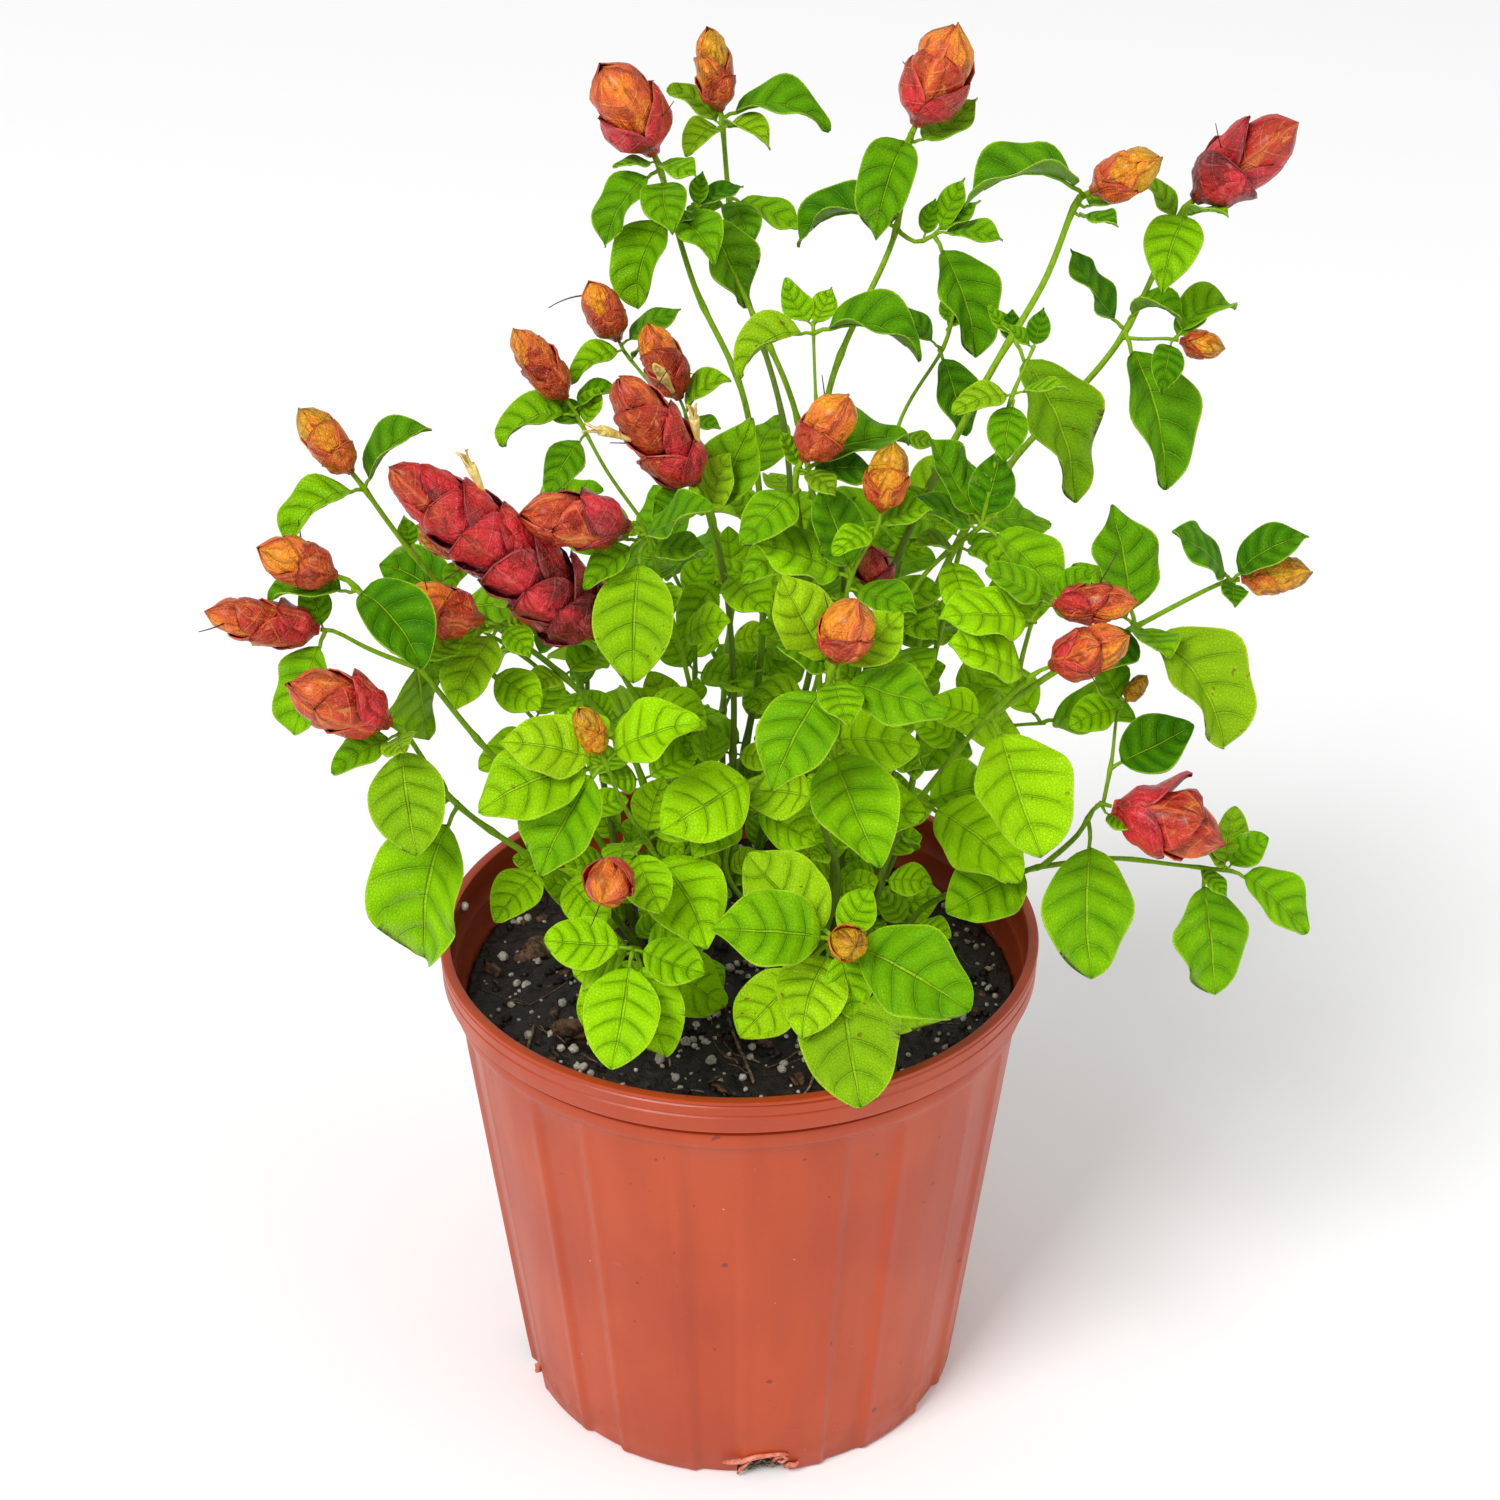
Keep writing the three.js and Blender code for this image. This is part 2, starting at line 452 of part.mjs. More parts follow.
function soilSolid(roots) {
  const topRadius = innerRadiusAt(soilTop) - fitGap - 0.4;
  const swell = (radius, angle) => Math.sin(angle * 3 + radius * 0.09) + Math.cos(angle * 5 - radius * 0.06);
  const circle = (radius, height) => Array.from({ length: soilSides }, (_, side) => {
    const angle = side * 2 * Math.PI / soilSides;
    return new THREE.Vector3(radius * Math.cos(angle), radius * Math.sin(angle), height(radius, angle));
  });
  const level = (radius, angle) => soilTop + soilLump * swell(radius, angle) / 2;
  const footLevel = () => floorThickness + fitGap;
  const footRing = circle(innerRadiusAt(floorThickness) - fitGap - 0.4, footLevel);
  let soil = skin([footRing, circle(topRadius, level), circle(topRadius * 0.68, level),
    circle(topRadius * 0.34, level), [new THREE.Vector3(0, 0, soilTop)]]);
  for (const root of roots) {
    const holeRadius = root.radius * 1.25 + 0.6;
    const hole = new THREE.CylinderGeometry(holeRadius, holeRadius, holeDepth * 2, stemSides);
    hole.rotateX(Math.PI / 2);
    hole.translate(root.place.x, root.place.y, soilTop);
    soil = soil.subtract(solidFromGeometry(hole));
  }
  return soil;
}

// ---- stems ----
// A stem's line runs straight from knot to knot, and its frames turn without twisting.
function stemLine(stem, parent) {
  const points = stem.points.map(vector);
  if (stem.from) points.unshift(parent.getPointAt(stem.from[1]));
  else points.splice(1, 0, points[0].clone().setZ(soilTop + 8));
  if (stem.head) {
    const [azimuth, pitch] = stem.head;
    points.push(points[points.length - 1].clone().addScaledVector(bearing(azimuth, pitch), neckLength));
  }
  const smooth = new THREE.CatmullRomCurve3(points, false, "centripetal");
  const steps = Math.max(2, Math.ceil(smooth.getLength() / stemStep));
  const knots = smooth.getSpacedPoints(steps);
  const line = new THREE.CurvePath();
  for (let step = 0; step < steps; step += 1) line.add(new THREE.LineCurve3(knots[step], knots[step + 1]));
  return { line, knots, frames: smooth.computeFrenetFrames(steps, false) };
}

function stemSolid(stem, { knots, frames }) {
  const rings = knots.map((knot, step) => {
    const radius = stem.radius * (1 - 0.25 * step / (knots.length - 1));
    const sides = stem.from ? branchSides : stemSides;
    return ringAt(knot, frames.normals[step], frames.binormals[step], radius, sides);
  });
  if (!stem.from) {
    const buried = rings[0].map((point) => point.clone().setZ(soilTop - holeDepth + 1));
    rings.unshift(buried);
  }
  return skin(rings);
}

// ---- leaves ----
// Each station is [share of the blade, share of the half width, wave of the left edge, of the right edge].
const largeBlade = [[0.16, 0.72, 0.5, -0.4], [0.4, 1, -0.6, 0.5], [0.64, 0.8, 0.6, -0.5],
  [0.84, 0.42, -0.4, 0.4]];
const middleBlade = [[0.2, 0.82, 0.5, -0.4], [0.48, 1, -0.5, 0.6], [0.76, 0.62, 0.5, -0.4]];
const smallBlade = [[0.26, 0.9, 0.4, -0.3], [0.64, 0.82, -0.5, 0.5]];
const largeLeaf = 42;
const middleLeaf = 31;
const bladeFold = 0.16;
const foldPerArch = 0.007;
const foldFreeArch = 40;
const lightCentre = { x: 0, y: 150 };
const lightRise = 1.1;
const lightRisePerHeight = 0.03;
const openFrom = 290;
const largestRoll = radians(60);
const edgeWave = 0.07;

// How far a blade turns about its midrib to face up and out from the middle of the plant.
function rollToLight(base, azimuth, pitch) {
  const outward = new THREE.Vector3(base.x - lightCentre.x, base.y - lightCentre.y, 0).normalize();
  const rise = lightRise + lightRisePerHeight * Math.max(0, base.z - openFrom);
  const target = new THREE.Vector3(0, 0, rise).add(outward);
  const side = bearing(azimuth + 90, 0);
  const normal = new THREE.Vector3().crossVectors(bearing(azimuth, pitch), side);
  const roll = Math.atan2(-target.dot(side), target.dot(normal));
  return THREE.MathUtils.clamp(roll * 0.85, -largestRoll, largestRoll);
}

function leafSolid(base, leaf, swell = 0, isBladeOnly = false) {
  const [, azimuth, pitch, length, arch] = leaf;
  const level = bearing(azimuth + 90, 0);
  const roll = rollToLight(base, azimuth, pitch);
  const slimness = 1 - slimPerHeight * Math.max(0, base.z - openFrom);
  const halfWidth = length * leafWidthShare * slimness / 2;
  const fold = bladeFold + foldPerArch * Math.max(0, arch - foldFreeArch);
  const section = (share, half, thickness, waveLeft, waveRight) => {
    const { place, direction } = alongArc(base, azimuth, pitch, length, arch, share);
    const upright = new THREE.Vector3().crossVectors(direction, level);
    const side = level.clone().multiplyScalar(Math.cos(roll)).addScaledVector(upright, Math.sin(roll));
    const normal = new THREE.Vector3().crossVectors(direction, side);
    const rise = half * fold;
    const wave = length * edgeWave;
    return [
      place.clone().addScaledVector(side, half).addScaledVector(normal, rise + waveLeft * wave),
      place.clone().addScaledVector(normal, thickness / 2),
      place.clone().addScaledVector(side, -half).addScaledVector(normal, rise + waveRight * wave),
      place.clone().addScaledVector(normal, -thickness / 2),
    ];
  };
  const shorter = length >= middleLeaf ? middleBlade : smallBlade;
  const stations = length >= largeLeaf ? largeBlade : shorter;
  const rings = [section(petioleShare, petioleRadius + swell, petioleRadius * 2 + swell * 2, 0, 0)];
  if (!isBladeOnly) rings.unshift([base]);
  for (const [share, width, waveLeft, waveRight] of stations) {
    const along = petioleShare + (1 - petioleShare) * share;
    rings.push(section(along, halfWidth * width + swell, bladeThickness + swell * 2, waveLeft, waveRight));
  }
  rings.push([alongArc(base, azimuth, pitch, length + swell, arch, 1).place]);
  return skin(rings, true);
}

// Opposite pairs of leaves, each pair turned a quarter from the one below.
function pairedLeaves([start, count, length, turn]) {
  return Array.from({ length: count * 2 }, (_, index) => {
    const pair = Math.floor(index / 2);
    const along = start + (0.98 - start) * pair / (count - 1);
    const azimuth = turn + pair * 90 + (index % 2) * 180;
    const pitch = [18, -4, 8, 30][(pair + index) % 4];
    const size = [1, 0.86, 1.12, 0.94][(index * 3 + pair) % 4];
    return [along, azimuth, pitch, length * size, [40, 25, 55][index % 3]];
  });
}

// Small turns tried in order until a leaf stands clear of its neighbours: [pitch, azimuth, size].
const turnsAside = [[0, 0, 1], [12, 0, 1], [-12, 0, 1], [0, 14, 1], [0, -14, 1], [22, 12, 1], [22, -12, 1],
  [-22, 12, 1], [-22, -12, 1], [0, 28, 0.95], [0, -28, 0.95], [34, 0, 0.9], [-34, 0, 0.9], [28, 28, 0.9],
  [28, -28, 0.9], [-28, 28, 0.9], [-28, -28, 0.9], [0, 45, 0.85], [0, -45, 0.85], [50, 0, 0.8],
  [40, 50, 0.75], [40, -50, 0.75], [-40, 50, 0.75], [-40, -50, 0.75], [60, 90, 0.65], [60, -90, 0.65]];
const clearance = 0.35;

const leastOverlap = 1e-4;

function crosses(solid, box, other) {
  const { min, max } = other.box;
  const boxesMeet = [0, 1, 2].every((axis) => box.min[axis] < max[axis] && min[axis] < box.max[axis]);
  return boxesMeet && solid.intersect(other.solid).volume() > leastOverlap;
}

// Finds where a leaf stands clear of other plants and heads, and of its own plant's blades if it can.
function leafStandingClear(base, leaf, others, ownBlades) {
  const [along, azimuth, pitch, length, arch] = leaf;
  for (const neighbours of [ownBlades, []]) {
    for (const [lift, swing, size] of turnsAside) {
      const tried = [along, azimuth + swing, pitch + lift, length * size, arch];
      const swollen = leafSolid(base, tried, clearance);
      const box = swollen.boundingBox();
      const blade = leafSolid(base, tried, clearance, true);
      const isClear = !others.some((other) => crosses(swollen, box, other));
      if (isClear && !neighbours.some((other) => crosses(blade, box, other))) return tried;
    }
  }
  return null;
}

// ---- heads of bracts ----
const largeHead = 18;
const rowLength = 0.36;
const coreShare = 0.33;

// A frame of directions at a share of the head's bent axis.
function headFrame(tip, head, share) {
  const [azimuth, pitch, length, , , bend] = head;
  const base = tip.clone().addScaledVector(bearing(azimuth, pitch), fitGap);
  const { place, direction } = alongArc(base, azimuth, pitch - bend / 2, length, bend, share);
  const across = bearing(azimuth + 90, 0);
  return { place, direction, across, over: new THREE.Vector3().crossVectors(direction, across) };
}

// Rows of four bracts, each row turned half a step. A bract's tip stands out and forward from the core.
function headSolid(tip, head) {
  const [, , length, width] = head;
  const scaleSides = width >= largeHead ? 8 : 6;
  const rows = Math.max(3, Math.min(9, Math.round(length / (width * rowLength))));
  const start = headFrame(tip, head, 0);
  const rings = [ringAt(start.place, start.across, start.over, 0.8, scaleSides)];
  const ringOfRow = (row, isTipRing) => {
    const share = (row + (isTipRing ? 0.25 : 0.75)) / (rows + 0.4);
    const frame = headFrame(tip, head, share);
    const fullness = 0.92 + 0.6 * share - 1.2 * share * share;
    const core = width * coreShare * fullness;
    return Array.from({ length: scaleSides }, (_, side) => {
      const isTip = isTipRing && (side + row) % 2 === 0;
      const angle = side * 2 * Math.PI / scaleSides;
      const reach = isTip ? width / 2 * fullness : core;
      const forward = isTip ? width * 0.28 * fullness : 0;
      return frame.place.clone().addScaledVector(frame.across, reach * Math.cos(angle))
        .addScaledVector(frame.over, reach * Math.sin(angle)).addScaledVector(frame.direction, forward);
    });
  };
  for (let row = 0; row < rows; row += 1) {
    rings.push(ringOfRow(row, true), ringOfRow(row, false));
  }
  rings.push([headFrame(tip, head, 1).place]);
  return skin(rings);
}

// ---- tubular flowers ----
function corollaSolid({ head, tip }, share, turn, length, swell = 0) {
  const { place, direction, across, over } = headFrame(tip, head, share);
  const outward = across.multiplyScalar(Math.cos(radians(turn)));
  outward.addScaledVector(over, Math.sin(radians(turn)));
  const line = direction.clone().multiplyScalar(2).add(outward).normalize();
  const side = new THREE.Vector3().crossVectors(direction, outward);
  const face = new THREE.Vector3().crossVectors(line, side);
  const root = place.clone().addScaledVector(outward, head[3] * coreShare + 1.6);
  const rings = [[0, 0.7], [0.5, 1.1], [0.78, 2], [1, 1.2]].map(([along, radius]) => {
    const centre = root.clone().addScaledVector(line, length * along);
    centre.z -= length * 0.15 * along * along;
    return ringAt(centre, side, face, radius + swell, 5);
  });
  return skin(rings);
}

// ---- materials ----
const plain = (color, roughness) => new THREE.MeshStandardMaterial({ color, roughness, metalness: 0 });
const terracottaPlastic = plain(0xc85f41, 0.5);
const pottingSoil = plain(0x241c17, 0.95);
const leafGreen = plain(0x6fae12, 0.5);
const corollaCream = plain(0xe9dfc0, 0.6);
const bractColours = [0xb9a832, 0xd98a2b, 0xc4512a, 0xb23a2a, 0x8e2233];
const bractMaterials = bractColours.map((colour) => plain(colour, 0.6));

// ---- the plant ----
const plant = new THREE.Group();
const numbered = (name, index) => `${name}_${String(index + 1).padStart(2, "0")}`;
const known = (solid, owner) => ({ solid, owner, box: solid.boundingBox() });

const roots = [];
const blades = [];
const placed = [];
const heads = [];
const shoots = plants.map(({ stems }, owner) => {
  const lines = [];
  return stems.map((stem) => {
    const course = stemLine(stem, stem.from && lines[stem.from[0]]);
    const { line } = course;
    lines.push(line);
    const solid = stemSolid(stem, course);
    placed.push(known(solid, owner));
    if (!stem.from) roots.push({ place: course.knots[0], radius: stem.radius });
    if (stem.head) heads.push({ head: stem.head, tip: course.knots[course.knots.length - 1] });
    return { stem, line, solid };
  });
});
const pot = potSolid();
placed.push(known(pot, "pot"));
for (const each of heads) {
  each.solid = headSolid(each.tip, each.head);
  placed.push(known(each.solid, "head"));
}
const flowers = corollas.map(([index, share, turn, length]) => {
  for (let swing = 0; swing < 360; swing += 15) {
    const swollen = corollaSolid(heads[index], share, turn + swing, length, clearance);
    const box = swollen.boundingBox();
    if (!placed.some((other) => crosses(swollen, box, other))) {
      const solid = corollaSolid(heads[index], share, turn + swing, length);
      placed.push(known(solid, "flower"));
      return solid;
    }
  }
  return null;
});

plant.add(meshOf("pot", pot, terracottaPlastic));
plant.add(meshOf("soil", soilSolid(roots), pottingSoil));
const grown = shoots.map((stems) => stems.map(({ solid }) => solid).reduce((sum, solid) => sum.add(solid)));
const leavesBySize = shoots.flatMap((stems, owner) => stems.flatMap(({ stem, line }) => {
  const leaves = stem.leaves ?? pairedLeaves(stem.pairs);
  const lasting = leaves.filter((leaf) => leaf[3] >= leafShortest);
  return lasting.map((leaf) => ({ owner, leaf, base: line.getPointAt(leaf[0]) }));
})).sort((one, two) => two.leaf[3] - one.leaf[3]);
for (const { owner, leaf, base } of leavesBySize) {
  const others = placed.filter((other) => other.owner !== owner);
  const ownBlades = blades.filter((other) => other.owner === owner);
  const clearLeaf = leafStandingClear(base, leaf, others, ownBlades);
  if (!clearLeaf) continue;
  const solid = leafSolid(base, clearLeaf);
  grown[owner] = grown[owner].add(solid);
  placed.push(known(solid, owner));
  blades.push(known(leafSolid(base, clearLeaf, 0, true), owner));
}
grown.forEach((solid, index) => {
  plant.add(meshOf(numbered("leafy_stem", index), wholeBody(solid), leafGreen));
});
heads.forEach(({ solid, head }, index) => {
  const colour = bractMaterials[Math.min(4, Math.floor(head[4] * 5))];
  plant.add(meshOf(numbered("flower_head", index), solid, colour));
});
flowers.forEach((solid, index) => {
  if (solid) plant.add(meshOf(numbered("corolla", index), solid, corollaCream));
});

export default plant;
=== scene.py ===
import math
import random

import bmesh
import bpy
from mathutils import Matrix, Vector, noise
from mathutils.bvhtree import BVHTree


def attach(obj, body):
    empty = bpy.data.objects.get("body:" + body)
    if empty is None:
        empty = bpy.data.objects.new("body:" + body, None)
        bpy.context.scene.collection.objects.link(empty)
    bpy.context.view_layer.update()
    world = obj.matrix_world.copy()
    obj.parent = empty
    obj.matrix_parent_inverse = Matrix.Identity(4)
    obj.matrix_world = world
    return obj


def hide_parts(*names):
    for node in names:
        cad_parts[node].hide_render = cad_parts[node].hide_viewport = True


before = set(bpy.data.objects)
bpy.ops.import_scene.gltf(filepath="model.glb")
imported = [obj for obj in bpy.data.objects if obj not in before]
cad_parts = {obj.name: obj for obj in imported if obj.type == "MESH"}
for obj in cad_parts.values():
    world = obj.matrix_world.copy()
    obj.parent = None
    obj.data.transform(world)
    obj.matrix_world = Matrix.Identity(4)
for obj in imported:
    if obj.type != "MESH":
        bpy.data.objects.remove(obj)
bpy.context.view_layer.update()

# Lengths are millimetres, and each piece is brought to metres when it is finished.
# +Z is up, the origin is on the pot's axis at its underside, and -Y is the front.
mm = 0.001


# ---- paint: a wrapped socket does the shader maths ----
def srgb(red, green, blue):
    def straight(value):
        share = value / 255
        return share / 12.92 if share <= 0.04045 else ((share + 0.055) / 1.055) ** 2.4

    return (straight(red), straight(green), straight(blue), 1)


class Wire:
    def __init__(self, finish, socket):
        self.finish = finish
        self.socket = socket

    def __add__(self, other):
        return self.finish.sum("ADD", self, other)

    def __radd__(self, other):
        return self.finish.sum("ADD", other, self)

    def __sub__(self, other):
        return self.finish.sum("SUBTRACT", self, other)

    def __rsub__(self, other):
        return self.finish.sum("SUBTRACT", other, self)

    def __mul__(self, other):
        return self.finish.sum("MULTIPLY", self, other)

    def __rmul__(self, other):
        return self.finish.sum("MULTIPLY", other, self)

    def __truediv__(self, other):
        return self.finish.sum("DIVIDE", self, other)

    def __pow__(self, other):
        return self.finish.sum("POWER", self, other)

    def __abs__(self):
        return self.finish.sum("ABSOLUTE", self, 0)

    def part(self):
        return self.finish.sum("FRACT", self, 0)

    def most(self, other):
        return self.finish.sum("MAXIMUM", self, other)

    def ramp(self, start, end, low=0, high=1):
        settings = {"interpolation_type": "SMOOTHSTEP"}
        return self.finish.node("MapRange", settings, {0: self, 1: start, 2: end, 3: low, 4: high})


class Finish:
    def __init__(self, name, constants):
        self.material = bpy.data.materials.new(name)
        self.material.use_nodes = True
        self.tree = self.material.node_tree
        self.shader = self.tree.nodes["Principled BSDF"]
        for socket, value in constants.items():
            self.shader.inputs[socket].default_value = value
        self.places = self.tree.nodes.new("ShaderNodeTexCoord")

    def node(self, kind, settings, inputs, output=0):
        node = self.tree.nodes.new("ShaderNode" + kind)
        for name, value in settings.items():
            setattr(node, name, value)
        for key, value in inputs.items():
            if isinstance(value, Wire):
                self.tree.links.new(value.socket, node.inputs[key])
            else:
                node.inputs[key].default_value = value
        return Wire(self, node.outputs[output])

    def sum(self, operation, one, other):
        return self.node("Math", {"operation": operation}, {0: one, 1: other})

    def mix(self, factor, one, other, way="MIX"):
        settings = {"data_type": "RGBA", "blend_type": way, "clamp_factor": True}
        return self.node("Mix", settings, {0: factor, 6: one, 7: other}, 2)

    def onObject(self, stretch=(1, 1, 1)):
        place = Wire(self, self.places.outputs["Object"])
        return self.node("Mapping", {}, {0: place, 3: stretch})

    def onSurface(self):
        spot = self.node("SeparateXYZ", {}, {0: Wire(self, self.places.outputs["UV"])})
        return spot, Wire(self, spot.socket.node.outputs[1])

    def attribute(self, name):
        return self.node("Attribute", {"attribute_name": name}, {}, 2)

    def grain(self, where, scale, detail=2, roughness=0.5, twist=0):
        inputs = {"Vector": where, "Scale": scale, "Detail": detail, "Roughness": roughness,
                  "Distortion": twist}
        return self.node("TexNoise", {}, inputs)

    def cells(self, where, scale, feature="DISTANCE_TO_EDGE"):
        return self.node("TexVoronoi", {"feature": feature}, {"Vector": where, "Scale": scale})

    def feed(self, **wires):
        for socket, wire in wires.items():
            self.tree.links.new(wire.socket, self.shader.inputs[socket.replace("_", " ")])

    def bump(self, height, depth, strength=1):
        self.feed(Normal=self.node("Bump", {}, {"Strength": strength, "Distance": depth, "Height": height}))


# ---- building aids ----
def radians(degrees):
    return degrees * math.pi / 180


def clamp(value, low=0.0, high=1.0):
    return max(low, min(high, value))


def ease(value):
    share = clamp(value)
    return share * share * (3 - 2 * share)


def bearing(azimuth, pitch):
    flat = math.cos(radians(pitch))
    return Vector((flat * math.cos(radians(azimuth)), flat * math.sin(radians(azimuth)),
                   math.sin(radians(pitch))))


def freshSince(sequence, count):
    sequence.ensure_lookup_table()
    return sequence[count:]


def addTubes(bm, routes, corners, paint, smooth=True):
    # each route is a list of (point, radius); the curve's own bevel makes the tube
    line = bpy.data.curves.new("line", "CURVE")
    line.dimensions = "3D"
    line.bevel_depth = 1
    line.bevel_resolution = (corners - 4) // 2
    line.use_fill_caps = True
    for route in routes:
        spline = line.splines.new("POLY")
        spline.points.add(len(route) - 1)
        for spot, (point, radius) in zip(spline.points, route):
            spot.co = (*point, 1)
            spot.radius = radius
    carrier = bpy.data.objects.new("line", line)
    bpy.context.scene.collection.objects.link(carrier)
    view = bpy.context.evaluated_depsgraph_get()
    mesh = bpy.data.meshes.new_from_object(carrier.evaluated_get(view))
    vertCount, faceCount = len(bm.verts), len(bm.faces)
    bm.from_mesh(mesh)
    for face in freshSince(bm.faces, faceCount):
        face.material_index = paint
        face.smooth = smooth
    fresh = freshSince(bm.verts, vertCount)
    bmesh.ops.remove_doubles(bm, verts=fresh, dist=1e-3)
    bpy.data.objects.remove(carrier)
    bpy.data.curves.remove(line)
    bpy.data.meshes.remove(mesh)
    bm.verts.ensure_lookup_table()
    return bm.verts[vertCount:]


def addGrid(bm, across, along):
    # returns the vertices, with x from -1 to 1 across and y from -1 to 1 along, and the faces
    verts = bmesh.ops.create_grid(bm, x_segments=across, y_segments=along, size=1, calc_uvs=True)["verts"]
    faces = {face for vert in verts for face in vert.link_faces}
    return verts, faces


def thicken(bm, faces, thickness, paint):
    # gives sheets a second side and a rim, which take their own paint
    count = len(bm.faces)
    bmesh.ops.solidify(bm, geom=list(faces), thickness=thickness)
    for face in freshSince(bm.faces, count):
        face.material_index = paint
        face.smooth = True


def newPiece(name, bm, finishes, nodes=()):
    bmesh.ops.scale(bm, vec=(mm, mm, mm), verts=bm.verts)
    mesh = bpy.data.meshes.new(name)
    bm.to_mesh(mesh)
    bm.free()
    for finish in finishes:
        mesh.materials.append(finish.material)
    piece = bpy.data.objects.new(name, mesh)
    bpy.context.scene.collection.objects.link(piece)
    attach(piece, "root")
    if nodes:
        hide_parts(*nodes)
    return piece


